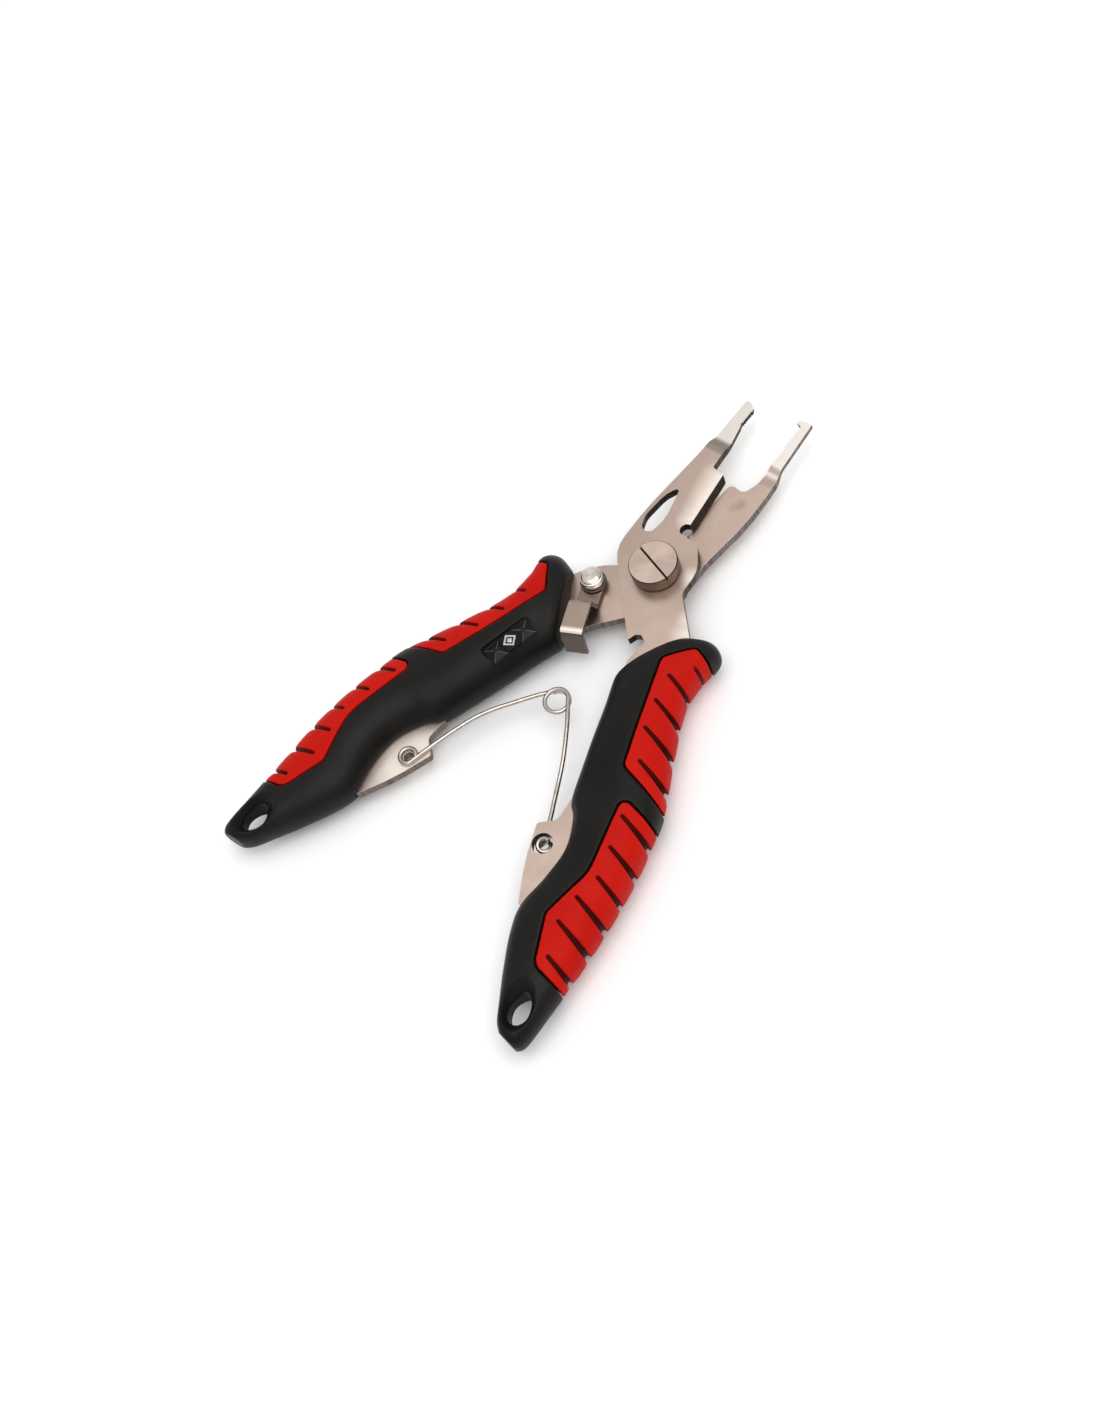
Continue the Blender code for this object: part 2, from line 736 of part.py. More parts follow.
def badge(handle, parts, cutters, gloss, silver):
    """The recessed oblong badge on the left handle, with a plain diamond on it."""
    top = MID_Z + BADGE_TOP
    floor = top - BADGE_DEEP
    recess = box(
        "badge_recess", BADGE_X, BADGE_Y, floor, top + 3.0,
        BADGE_LONG + 2 * GAP, BADGE_WIDE + 2 * GAP, BADGE_ANGLE, cutters,
    )
    joined("DIFFERENCE", handle, as_cutter(recess))
    low = floor + 0.1
    plate = box("badge_plate", BADGE_X, BADGE_Y, low, top - 0.1, BADGE_LONG, BADGE_WIDE, BADGE_ANGLE, parts)
    rim = plate.modifiers.new("rim", "BEVEL")
    rim.width = mm(0.2)
    rim.segments = 1
    rim.limit_method = "ANGLE"
    plate.data.materials.append(gloss)
    seat = as_cutter(disc("badge_seat", BADGE_X, BADGE_Y, low + 0.3, top + 1.0, 2.1, cutters, 4))
    seat.rotation_euler.z = math.radians(BADGE_ANGLE)
    joined("DIFFERENCE", plate, seat)
    mark = disc("badge_diamond", BADGE_X, BADGE_Y, low + 0.4, top, 1.85, parts, 4)
    mark.rotation_euler.z = math.radians(BADGE_ANGLE)
    mark.data.materials.append(silver)


def latch_path():
    """Middle line of the latch's bent sheet: distance from the screw, and height."""
    flat = MID_Z + 0.6
    tab = MID_Z + 4.9
    return [(-3.1, flat), (6.0, flat), (7.6, tab), (15.3, tab), (16.3, MID_Z - 2.0)]


def latch(parts, cutters, steel, polished):
    """The Z-bent latch lever, its screw, the washer under the screw's head and the nut below the blade."""
    path = [Vector(point) for point in latch_path()]
    half = LATCH_THICK / 2
    upper = []
    lower = []
    for i, point in enumerate(path):
        before = (point - path[i - 1]).normalized() if i else (path[1] - path[0]).normalized()
        after = (path[i + 1] - point).normalized() if i + 1 < len(path) else before
        along = (before + after).normalized()
        share = along.dot(before)
        normal = Vector((-along.y, along.x)) * (half / share)
        upper.append(point + normal)
        lower.append(point - normal)
    profile = upper + list(reversed(lower))
    lever = slab("latch_lever", profile, -LATCH_WIDE / 2, LATCH_WIDE / 2, parts)
    lever.data.transform(lever.matrix_world)
    # The profile's second coordinate is height, so it is stood up and then turned in plan.
    upright = Matrix.Rotation(math.radians(90.0), 4, "X")
    lever.data.transform(upright)
    lever.location = (mm(LATCH_X), mm(LATCH_Y), 0.0)
    lever.rotation_euler.z = math.radians(LATCH_ANGLE)
    keep_points = fillet([(-3.0, -2.7, 2.6), (-3.0, 2.7, 2.6), (30.0, 2.7, 0.1), (30.0, -2.7, 0.1)])
    keep = slab("latch_keep", keep_points, -1.0, 20.0, cutters)
    keep.location = (mm(LATCH_X), mm(LATCH_Y), mm(MID_Z))
    keep.rotation_euler.z = math.radians(LATCH_ANGLE)
    joined("INTERSECT", lever, as_cutter(keep))
    bore = disc("lever_bore", LATCH_X, LATCH_Y, MID_Z - 2.0, MID_Z + 3.0, LATCH_BORE_R, cutters, 20)
    joined("DIFFERENCE", lever, as_cutter(bore))
    lever.data.materials.append(steel)

    washer_low = MID_Z + 0.6 + half + 0.15
    washer_high = washer_low + LATCH_WASHER_THICK
    washer = ring(
        "latch_washer", LATCH_X, LATCH_Y, washer_low, washer_high, LATCH_BORE_R, LATCH_WASHER_R, parts
    )
    washer.data.materials.append(steel)
    head_low = washer_high + 0.15
    head_top = head_low + LATCH_HEAD_H
    rear_low = MID_Z - LAP_GAP / 2 - PLATE
    profile = [
        (0.0, head_top),
        (LATCH_HEAD_R - 0.9, head_top - 0.05),
        (LATCH_HEAD_R - 0.3, head_top - 0.3),
        (LATCH_HEAD_R, head_top - 0.8),
        (LATCH_HEAD_R, head_low),
        (LATCH_SHANK_R, head_low),
        (LATCH_SHANK_R, rear_low - 1.2),
        (0.0, rear_low - 1.2),
    ]
    screw = turned("latch_screw", LATCH_X, LATCH_Y, profile, parts, 32)
    screw.data.materials.append(polished)
    smooth(screw)
    nut_top = rear_low - 0.25
    profile = [
        (LATCH_BORE_R, nut_top),
        (LATCH_NUT_R, nut_top),
        (LATCH_NUT_R, nut_top - 1.5),
        (LATCH_NUT_R - 0.5, nut_top - 2.0),
        (0.0, nut_top - 2.0),
        (0.0, nut_top - 1.3),
        (LATCH_BORE_R, nut_top - 1.3),
        (LATCH_BORE_R, nut_top),
    ]
    nut = turned("latch_nut", LATCH_X, LATCH_Y, profile, parts, 32)
    nut.data.materials.append(steel)
    smooth(nut)
    return lever


def spring_points():
    """The wire's middle line: rear eye, arm, coil, arm, and the curl in the front blade's hole."""
    eye_z = MID_Z - LAP_GAP / 2 + 0.2 + WIRE_R
    under_z = MID_Z + LAP_GAP / 2 - 0.25 - WIRE_R
    points = []
    start = math.radians(20.0)
    for k in range(13):
        angle = start + math.radians(300.0) * k / 12
        points.append((-TAB_HOLE_X + EYE_R * math.cos(angle), TAB_HOLE_Y + EYE_R * math.sin(angle), eye_z))
    rear_arm = [(-16.6, -59.0), (-13.9, -51.4), (-11.4, -46.6), (-8.6, -42.6), (-5.8, -38.8), (-3.5, -36.2)]
    low_z = MID_Z - 0.75
    for i, (x, y) in enumerate(rear_arm):
        share = smoothstep(i / 5.0, 0.0, 1.0)
        points.append((x, y, eye_z + (low_z - eye_z) * share))
    first = math.radians(140.0)
    sweep = math.radians(-470.0)
    turns = 30
    high_z = MID_Z + 0.45
    for k in range(turns + 1):
        angle = first + sweep * k / turns
        z = low_z + (high_z - low_z) * k / turns
        points.append((COIL_X + COIL_R * math.cos(angle), COIL_Y + COIL_R * math.sin(angle), z))
    return points, under_z, high_z


def spring(parts, wire):
    points, under_z, high_z = spring_points()
    front_arm = [(5.2, -39.4), (7.9, -43.4), (10.4, -47.6), (12.6, -51.9), (14.8, -56.2), (17.0, -60.5)]
    for i, (x, y) in enumerate(front_arm):
        share = smoothstep(i / 3.5, 0.0, 1.0)
        points.append((x, y, high_z + (under_z - high_z) * share))
    curl_top = MID_Z + LAP_GAP / 2 + PLATE - 0.2
    turns = 16
    for k in range(turns + 1):
        angle = math.radians(180.0 - 480.0 * k / turns)
        z = under_z + (curl_top - under_z) * min(1.0, (k + 1) / turns)
        points.append((TAB_HOLE_X + CURL_R * math.cos(angle), TAB_HOLE_Y + CURL_R * math.sin(angle), z))
    made = tube("torsion_spring", points, WIRE_R, parts)
    made.data.materials.append(wire)


def hinge(name, x, y, pieces, home):
    """An empty on a joint's axis, which carries the pieces that turn about it."""
    axis = bpy.data.objects.new(name, None)
    axis.location = (mm(x), mm(y), mm(MID_Z))
    home.objects.link(axis)
    bpy.context.view_layer.update()
    for piece in pieces:
        piece.parent = axis
        piece.matrix_parent_inverse = axis.matrix_world.inverted()


def main():
    for old in list(bpy.data.objects):
        bpy.data.objects.remove(old)
    parts = bpy.data.collections.new("fishing_pliers")
    cutters = bpy.data.collections.new("cutters")
    bpy.context.scene.collection.children.link(parts)
    bpy.context.scene.collection.children.link(cutters)
    steel = material("stainless", (0.62, 0.55, 0.51, 1.0), 0.34, 1.0)
    polished = material("polished_steel", (0.75, 0.71, 0.67, 1.0), 0.16, 1.0)
    wire = material("spring_wire", (0.55, 0.49, 0.44, 1.0), 0.28, 1.0)
    plastic = material("black_handle", (0.022, 0.021, 0.019, 1.0), 0.5, 0.0)
    rubber = material("red_rubber", (0.55, 0.018, 0.012, 1.0), 0.55, 0.0)
    gloss = material("gloss_black", (0.012, 0.012, 0.012, 1.0), 0.12, 0.0)
    silver = material("silver", (0.7, 0.7, 0.7, 1.0), 0.25, 1.0)
    front_half = [blades(parts, cutters, steel)[0]]
    pivot(parts, cutters, steel)
    front_low = MID_Z + LAP_GAP / 2
    rear_low = MID_Z - LAP_GAP / 2 - PLATE
    for side, word, points, low in (
        (1, "right", front_outline(), front_low),
        (-1, "left", rear_outline(), rear_low),
    ):
        handle = shell(word + "_handle_shell", side, points, low, parts, cutters, plastic)
        front = grip(word + "_grip_front", GRIP_FRONT, GROOVES_FRONT, side, parts, cutters, rubber)
        rear = grip(word + "_grip_rear", GRIP_REAR, GROOVES_REAR, side, parts, cutters, rubber)
        if side > 0:
            front_half += [handle, front, rear]
        else:
            badge(handle, parts, cutters, gloss, silver)
    lever = latch(parts, cutters, steel, polished)
    hinge("jaw_pivot", 0.0, 0.0, front_half, parts)
    hinge("latch_pivot", LATCH_X, LATCH_Y, [lever], parts)
    spring(parts, wire)


main()
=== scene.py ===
"""Looks for the fishing pliers: detailed steel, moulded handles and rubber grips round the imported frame."""

import json
import math

import bmesh
import bpy
import numpy as np
from mathutils import Matrix, Vector

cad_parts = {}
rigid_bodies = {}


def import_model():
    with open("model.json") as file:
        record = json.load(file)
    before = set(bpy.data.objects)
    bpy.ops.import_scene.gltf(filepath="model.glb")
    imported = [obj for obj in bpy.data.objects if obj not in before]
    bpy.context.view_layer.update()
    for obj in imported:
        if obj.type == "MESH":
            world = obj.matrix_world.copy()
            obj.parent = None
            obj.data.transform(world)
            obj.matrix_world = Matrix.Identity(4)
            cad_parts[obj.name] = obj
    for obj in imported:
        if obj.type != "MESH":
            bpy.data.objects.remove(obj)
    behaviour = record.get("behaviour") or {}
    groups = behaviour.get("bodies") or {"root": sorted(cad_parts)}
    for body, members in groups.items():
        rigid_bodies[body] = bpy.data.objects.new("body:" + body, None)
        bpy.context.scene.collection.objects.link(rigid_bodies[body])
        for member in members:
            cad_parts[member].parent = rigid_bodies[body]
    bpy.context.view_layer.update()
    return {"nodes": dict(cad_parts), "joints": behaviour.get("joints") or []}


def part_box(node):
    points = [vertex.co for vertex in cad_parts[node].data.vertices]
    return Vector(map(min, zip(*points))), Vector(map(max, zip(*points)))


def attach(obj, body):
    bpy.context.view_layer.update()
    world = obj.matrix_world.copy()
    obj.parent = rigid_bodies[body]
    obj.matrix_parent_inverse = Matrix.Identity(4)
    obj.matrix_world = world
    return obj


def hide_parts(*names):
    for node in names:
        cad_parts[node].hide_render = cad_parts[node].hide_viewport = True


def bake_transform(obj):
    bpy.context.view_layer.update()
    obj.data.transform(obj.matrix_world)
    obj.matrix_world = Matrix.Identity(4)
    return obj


# The scene starts empty
for leftover in list(bpy.data.objects):
    bpy.data.objects.remove(leftover)

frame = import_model()
NODES = frame["nodes"]
JOINTS = {joint["name"]: joint for joint in frame["joints"]}

# Lengths below are in millimetres and mm() turns them into metres
MID_Z = JOINTS["jaw_pivot"]["pos_m"][2] * 1000.0  # the level where the two blades lap
PLATE = 2.2
LAP_GAP = 0.3
CUT_LOW = MID_Z - 12.0  # cutters reach well past both faces of the handles
CUT_HIGH = MID_Z + 12.0
WELD = 2e-6  # vertices nearer than this, in metres, are one
FLAT = 0.6  # faces within this angle of each other are one

# The camera looks down at the middle of the pliers from their right, rolled so that the jaws point up.
# Its aim and distance are in metres.
AIM = Vector((0.0002, -0.0398, MID_Z * 0.001))
AZIMUTH = 65.2
ELEVATION = 57.7
ROLL = 29.5
DISTANCE = 0.439
LENS = 50.63

# Sections across the right handle: inner edge (x, y), outer edge (x, y) and half height
HANDLE = [
    (8.9, -25.2, 17.6, -9.4, 5.4),
    (8.6, -26.7, 22.2, -8.0, 6.3),
    (9.8, -29.9, 25.5, -10.0, 6.5),
    (11.3, -33.5, 25.0, -15.0, 6.6),
    (13.8, -40.4, 25.8, -22.7, 6.7),
    (17.0, -48.8, 31.2, -33.9, 6.9),
    (19.5, -55.0, 36.9, -44.3, 6.9),
    (22.4, -58.0, 39.2, -50.6, 6.9),
    (25.6, -64.4, 41.7, -60.4, 6.9),
    (25.9, -72.0, 43.4, -71.2, 6.8),
    (25.0, -79.2, 44.3, -81.4, 6.3),
    (27.0, -85.2, 44.6, -87.2, 5.6),
    (31.0, -92.2, 44.8, -93.6, 4.9),
    (34.8, -98.0, 45.0, -99.3, 4.4),
    (37.1, -101.4, 44.8, -102.4, 3.9),
    (39.0, -103.1, 43.8, -103.8, 3.0),
]
HANDLE_ROUNDNESS = 2.35  # 2 would make each section an ellipse, and more makes it squarer
SECTION_STEPS = 6
RING_POINTS = 56

# Plan outlines of the two grips, with corner radii, running out past the outer edge
GRIP_PLANS = {
    "front": [
        (21.5, -12.0, 1.2),
        (16.8, -18.2, 1.6),
        (22.4, -33.4, 30.0),
        (26.4, -43.4, 2.0),
        (33.0, -44.9, 12.0),
        (44.0, -48.0, 0.5),
        (44.0, -16.5, 0.5),
        (27.5, -13.8, 6.0),
    ],
    "rear": [
        (30.6, -49.0, 1.6),
        (35.4, -66.5, 12.0),
        (33.0, -78.2, 2.5),
        (37.6, -88.2, 3.0),
        (50.0, -90.0, 0.5),
        (50.0, -54.0, 0.5),
        (38.0, -50.2, 12.0),
    ],
}
# Inner ends of the grooves across each grip
GROOVES = {
    "front": [(23.9, -15.9), (21.0, -20.8), (22.2, -27.1), (24.5, -33.6), (28.5, -40.5)],
    "rear": [(33.4, -52.6), (35.6, -59.5), (37.6, -66.2), (36.6, -72.0), (36.4, -78.2), (39.0, -85.2)],
}
GROOVE_ANGLE = -13.0
GROOVE_LONG = 22.0
GROOVE_NARROW = 0.75  # width at the inner end
GROOVE_BROAD = 1.0  # width past the outer edge
GROOVE_FLARE = (GROOVE_BROAD - GROOVE_NARROW) / GROOVE_LONG
GROOVE_DEEP = 0.95
GRIP_SKIN = 1.5  # thickness of the rubber above and below the handle's core
GRIP_SIDE = 2.3  # its thickness outside the core
GRIP_SINK = 0.15  # how far the rubber lies below the plastic round it
SEAM = 0.2  # half the gap between rubber and plastic
POCKET_ROOM = 0.3  # gap under the rubber
SLOT_ROOM = 0.2  # gap between a blade's tang and the handle moulded round it
PAD_VOXEL = 0.2
SHELL_VOXEL = 0.285
LOBE_DIP = 0.5  # how far the rubber is drawn in beside a groove
LOBE_REACH = 0.95  # distance from a groove over which it swells out again
LOBE_RUN = 9.0  # length of a groove before the dip is full
SHADE_EDGE = 0.35  # width over which the painted shade of a groove fades out

# The hole through each handle's end
LANYARD = (39.9, -97.6)
LANYARD_TURN = 25.0
LANYARD_OVAL = 1.3  # length of the hollow round the hole for each unit of its width
LANYARD_HOLLOW = ((1.7, 2.2), (4.3, 4.2), (7.2, 6.8))  # distance from the middle plane, radius

# The badge on the left handle, with a pyramid, or facet, at each end
BADGE = (-15.3, -32.75)
BADGE_ANGLE = -105.0
BADGE_TOP = MID_Z + 6.9
BADGE_FLOOR = BADGE_TOP - 0.9
BADGE_LONG = 12.0
BADGE_WIDE = 4.9
RECESS_ROOM = 0.3
FACET_X = 3.85
FACET_LONG = 3.9
FACET_WIDE = 4.4
RIDGE_R = 0.09

# The screw through the jaws and the nut below
PIVOT_SLOT = 0.42
PIVOT_SLOT_LONG = 18.0
PIVOT_SLOT_DEEP = 1.0
PIVOT_SLOT_ANGLE = -18.0
PIVOT_SHANK_R = 2.5
PIVOT_BORE_R = 2.8

# The lever that holds the handles shut, and its screw
LATCH_X, LATCH_Y, _ = (1000.0 * part for part in JOINTS["latch_pivot"]["pos_m"])
LATCH_ANGLE = -67.0
LATCH_THICK = 0.9
LATCH_WIDE = 5.4
LATCH_END = 2.95  # from the screw to the rounded end behind it
LATCH_SIDE = 2.65  # half the width that the rounded end keeps
LATCH_TAB = MID_Z + 4.9  # height of the raised tab
LATCH_BORE_R = 1.5
LATCH_SHANK_R = 1.2
LATCH_COLLAR_R = 3.05

# The spring's wire is held in a hole of the right tab and in the same place on the left one
WIRE_R = 0.5
SPRING_HOLE = Vector((20.4, -65.8))
EYE_R = 1.85
CURL_R = 1.35
COIL = Vector((-0.1, -37.0))
COIL_R = 2.75
EYE_Z = MID_Z + 0.55
COIL_LOW_Z = MID_Z - 0.8
COIL_HIGH_Z = MID_Z + 0.6
CURL_LOW_Z = MID_Z - 0.6
CURL_HIGH_Z = MID_Z + 2.15
REAR_ARM = [(-16.6, -59.0), (-13.9, -51.4), (-11.4, -46.6), (-8.6, -42.6), (-5.8, -38.8), (-3.5, -36.2)]
FRONT_ARM = [(5.2, -39.4), (7.9, -43.4), (10.4, -47.6), (12.6, -51.9), (14.8, -56.2), (17.0, -60.5)]

STEEL = (0.605, 0.466, 0.39)
# Smudges on the steel: x, y, radius where full, radius where gone, and a mark's strength
SMUDGES = [(4.6, 24.6, 0.2, 2.0, 1.0), (3.4, 23.0, 0.2, 1.6, 0.8), (-6.5, -16.4, 0.3, 2.2, 0.5)]
# Painted highlights on the steel: x, y, radius where full, radius where gone
CUTTER_PAINTED_HIGHLIGHT = [(-2.3 + 0.11 * k, 27.0 - k, 0.8, 5.6 - 0.1 * k) for k in range(0, 13, 2)]
SHANK_PAINTED_HIGHLIGHT = [(8.2, 2.5, 0.1, 3.4), (14.6, -6.5, 0.1, 3.6), (16.0, -9.5, 0.1, 4.2)]
TAB_PAINTED_HIGHLIGHT = [(-20.0, -66.0, 5.0, 14.0)]
LEVER_PAINTED_HIGHLIGHT = [(-5.5 + 0.92 * k, -23.2 + 0.39 * k, 0.5, 1.3) for k in (-2.4, -1.6, -0.8, 0.0, 0.8, 1.6, 2.4)]
# Painted shade and highlight bands across the bends of the noses: y from, y to, tone and strength
BAND_SOFT = 0.3
FRONT_BANDS = [(32.3, 35.7, (0.30, 0.26, 0.22), 0.8)]
REAR_BANDS = [
    (31.5, 33.4, (0.40, 0.34, 0.30), 0.6),
    (34.0, 34.8, (0.97, 0.91, 0.85), 0.9),
    (35.4, 36.2, (0.42, 0.37, 0.33), 0.6),
]
NOSE_START = 35.2  # the paler tone of a nose begins here and is full at the next
NOSE_FULL = 36.6


def mm(value):
    return value * 0.001


# ---------------------------------------------------------------- shapes


def fillet(corners, step=6.0):
    """Points of a closed outline whose corners (x, y, radius) are rounded as far as its sides allow."""
    points = []
    count = len(corners)
    for i in range(count):
        here = Vector(corners[i][:2])
        back = Vector(corners[i - 1][:2]) - here
        ahead = Vector(corners[(i + 1) % count][:2]) - here
        turn = math.pi - back.angle(ahead)
        radius = corners[i][2]
        if turn < 0.02 or radius <= 0.0:
            points.append(here)
            continue
        run = min(radius * math.tan(turn / 2), 0.49 * min(back.length, ahead.length))
        radius = run / math.tan(turn / 2)
        inward = (back.normalized() + ahead.normalized()).normalized()
        centre = here + inward * (radius / math.cos(turn / 2))
        start = here + back.normalized() * run - centre
        steps = max(1, round(math.degrees(turn) / step))
        side = 1.0 if back.cross(ahead) < 0 else -1.0
        for k in range(steps + 1):
            spin = Matrix.Rotation(side * turn * k / steps, 2)
            points.append(centre + spin @ start)
    return points


def inset(points, distance):
    """The same outline moved inwards by a distance."""
    area = sum(points[i - 1].cross(points[i]) for i in range(len(points)))
    side = 1.0 if area > 0 else -1.0
    moved = []
    for i in range(len(points)):
        before = (points[i] - points[i - 1]).normalized()
        after = (points[(i + 1) % len(points)] - points[i]).normalized()
        along = (before + after).normalized()
        share = max(0.5, along.dot(before))
        moved.append(points[i] + Vector((-along.y, along.x)) * (side * distance / share))
    return moved


def curved(rows, steps):
    """Rows of numbers with more rows between them, along a Catmull-Rom curve through them all."""
    made = []
    last = len(rows) - 1
    for i in range(last):
        four = [rows[max(0, i - 1)], rows[i], rows[i + 1], rows[min(last, i + 2)]]
        for k in range(steps):
            t = k / steps
            weights = (
                -0.5 * t + t * t - 0.5 * t ** 3,
                1.0 - 2.5 * t * t + 1.5 * t ** 3,
                0.5 * t + 2.0 * t * t - 1.5 * t ** 3,
                -0.5 * t * t + 0.5 * t ** 3,
            )
            made.append(tuple(sum(w * row[n] for w, row in zip(weights, four)) for n in range(len(rows[0]))))
    made.append(rows[last])
    return made


def smoothstep(share):
    """A share from 0 to 1, eased at both ends."""
    share = min(1.0, max(0.0, share))
    return share * share * (3.0 - 2.0 * share)


def rectangle(long, wide, radius=0.0):
    """Corners of a rectangle round the origin, for fillet."""
    x = long / 2
    y = wide / 2
    return [(-x, -y, radius), (x, -y, radius), (x, y, radius), (-x, y, radius)]


def placed(name, work):
    """A new mesh object from a bmesh in millimetres, facing out."""
    bmesh.ops.recalc_face_normals(work, faces=work.faces)
    mesh = bpy.data.meshes.new(name)
    work.to_mesh(mesh)
    work.free()
    mesh.transform(Matrix.Scale(0.001, 4))
    made = bpy.data.objects.new(name, mesh)
    bpy.context.scene.collection.objects.link(made)
    return made


def lofted(name, rings):
    """A closed skin through rings of points, with flat ends."""
    work = bmesh.new()
    loops = [[work.verts.new(point) for point in ring] for ring in rings]
    count = len(loops[0])
    for first, second in zip(loops, loops[1:]):
        for k in range(count):
            after = (k + 1) % count
            work.faces.new((first[k], first[after], second[after], second[k]))
    work.faces.new(loops[0])
    work.faces.new(loops[-1])
    return placed(name, work)


def slab(name, points, low, high):
    """An outline in plan, extruded between two heights."""
    return lofted(name, [[(p[0], p[1], z) for p in points] for z in (low, high)])


def turned(name, x, y, profile, steps=96):
    """A solid of revolution about an upright axis through (x, y), from a closed profile of (radius, z)."""
    work = bmesh.new()
    loops = []
    for k in range(steps):
        angle = 2.0 * math.pi * k / steps
        c = math.cos(angle)
        s = math.sin(angle)
        loops.append([work.verts.new((x + r * c, y + r * s, z)) for r, z in profile])
    count = len(profile)
    for i in range(steps):
        here = loops[i]
        there = loops[(i + 1) % steps]
        for k in range(count):
            after = (k + 1) % count
            work.faces.new((here[k], here[after], there[after], there[k]))
    bmesh.ops.remove_doubles(work, verts=work.verts, dist=1e-4)
    bmesh.ops.dissolve_degenerate(work, edges=work.edges, dist=1e-5)
    return placed(name, work)


def tube(name, points, radius):
    """A round wire along points, with closed ends."""
    curve = bpy.data.curves.new(name, "CURVE")
    curve.dimensions = "3D"
    curve.bevel_depth = mm(radius)
    curve.bevel_resolution = 6
    curve.use_fill_caps = True
    spline = curve.splines.new("POLY")
    spline.points.add(len(points) - 1)
    for target, point in zip(spline.points, points):
        target.co = (mm(point[0]), mm(point[1]), mm(point[2]), 1.0)
    made = bpy.data.objects.new(name, curve)
    bpy.context.scene.collection.objects.link(made)
    return as_mesh(made)


def as_mesh(piece):
    """The piece's evaluated shape as plain mesh, under the same name."""
    bpy.context.view_layer.update()
    graph = bpy.context.evaluated_depsgraph_get()
    mesh = bpy.data.meshes.new_from_object(piece.evaluated_get(graph))
    matrix = piece.matrix_world.copy()
    name = piece.name
    bpy.data.objects.remove(piece)
    made = bpy.data.objects.new(name, mesh)
    made.matrix_world = matrix
    bpy.context.scene.collection.objects.link(made)
    return made


def combined(kind, target, other):
    """Applies a Boolean between two closed meshes and removes the second."""
    step = target.modifiers.new("combine", "BOOLEAN")
    step.operation = kind
    step.object = other
    step.solver = "MANIFOLD"
    made = as_mesh(target)
    bpy.data.objects.remove(other)
    return made


def copied(piece, name):
    """A new object with its own copy of a piece's mesh."""
    made = bpy.data.objects.new(name, piece.data.copy())
    bpy.context.scene.collection.objects.link(made)
    return made


def flipped(piece, name):
    """The piece seen in a mirror at x = 0."""
    made = copied(piece, name)
    made.data.transform(Matrix.Scale(-1.0, 4, (1.0, 0.0, 0.0)))
    made.data.flip_normals()
    return made


def moulded(piece, voxel, passes):
    """A fine remesh of a piece with softened edges, as a moulding's are."""
    remesh = piece.modifiers.new("remesh", "REMESH")
    remesh.mode = "VOXEL"
    remesh.voxel_size = mm(voxel)
    soften = piece.modifiers.new("soften", "SMOOTH")
    soften.factor = 0.5
    soften.iterations = passes
    made = as_mesh(piece)
    made.data.shade_smooth()
    return made


def welded(piece, flat=0.0):
    """Joins doubled vertices, and faces that lie within an angle of each other if one is given."""
    work = bmesh.new()
    work.from_mesh(piece.data)
    bmesh.ops.remove_doubles(work, verts=work.verts, dist=WELD)
    if flat > 0.0:
        bmesh.ops.dissolve_limit(
            work,
            angle_limit=math.radians(flat),
            verts=work.verts,
            edges=work.edges,
            use_dissolve_boundaries=False,
        )
    work.to_mesh(piece.data)
    work.free()


def creased(piece, angle):
    """Smooth shading that breaks at edges sharper than an angle."""
    piece.data.shade_smooth()
    piece.data.set_sharp_from_angle(angle=math.radians(angle))


def bevelled(piece, width, segments, angle):
    """Joins flat neighbours and rounds every edge sharper than an angle by a width."""
    welded(piece, FLAT)
    piece.data.shade_smooth()
    rim = piece.modifiers.new("rim", "BEVEL")
    rim.width = mm(width)
    rim.segments = segments
    rim.limit_method = "ANGLE"
    rim.angle_limit = math.radians(angle)
    rim.use_clamp_overlap = True
    even = piece.modifiers.new("even", "WEIGHTED_NORMAL")
    even.mode = "FACE_AREA"
    even.weight = 100
    return as_mesh(piece)


# ---------------------------------------------------------------- materials


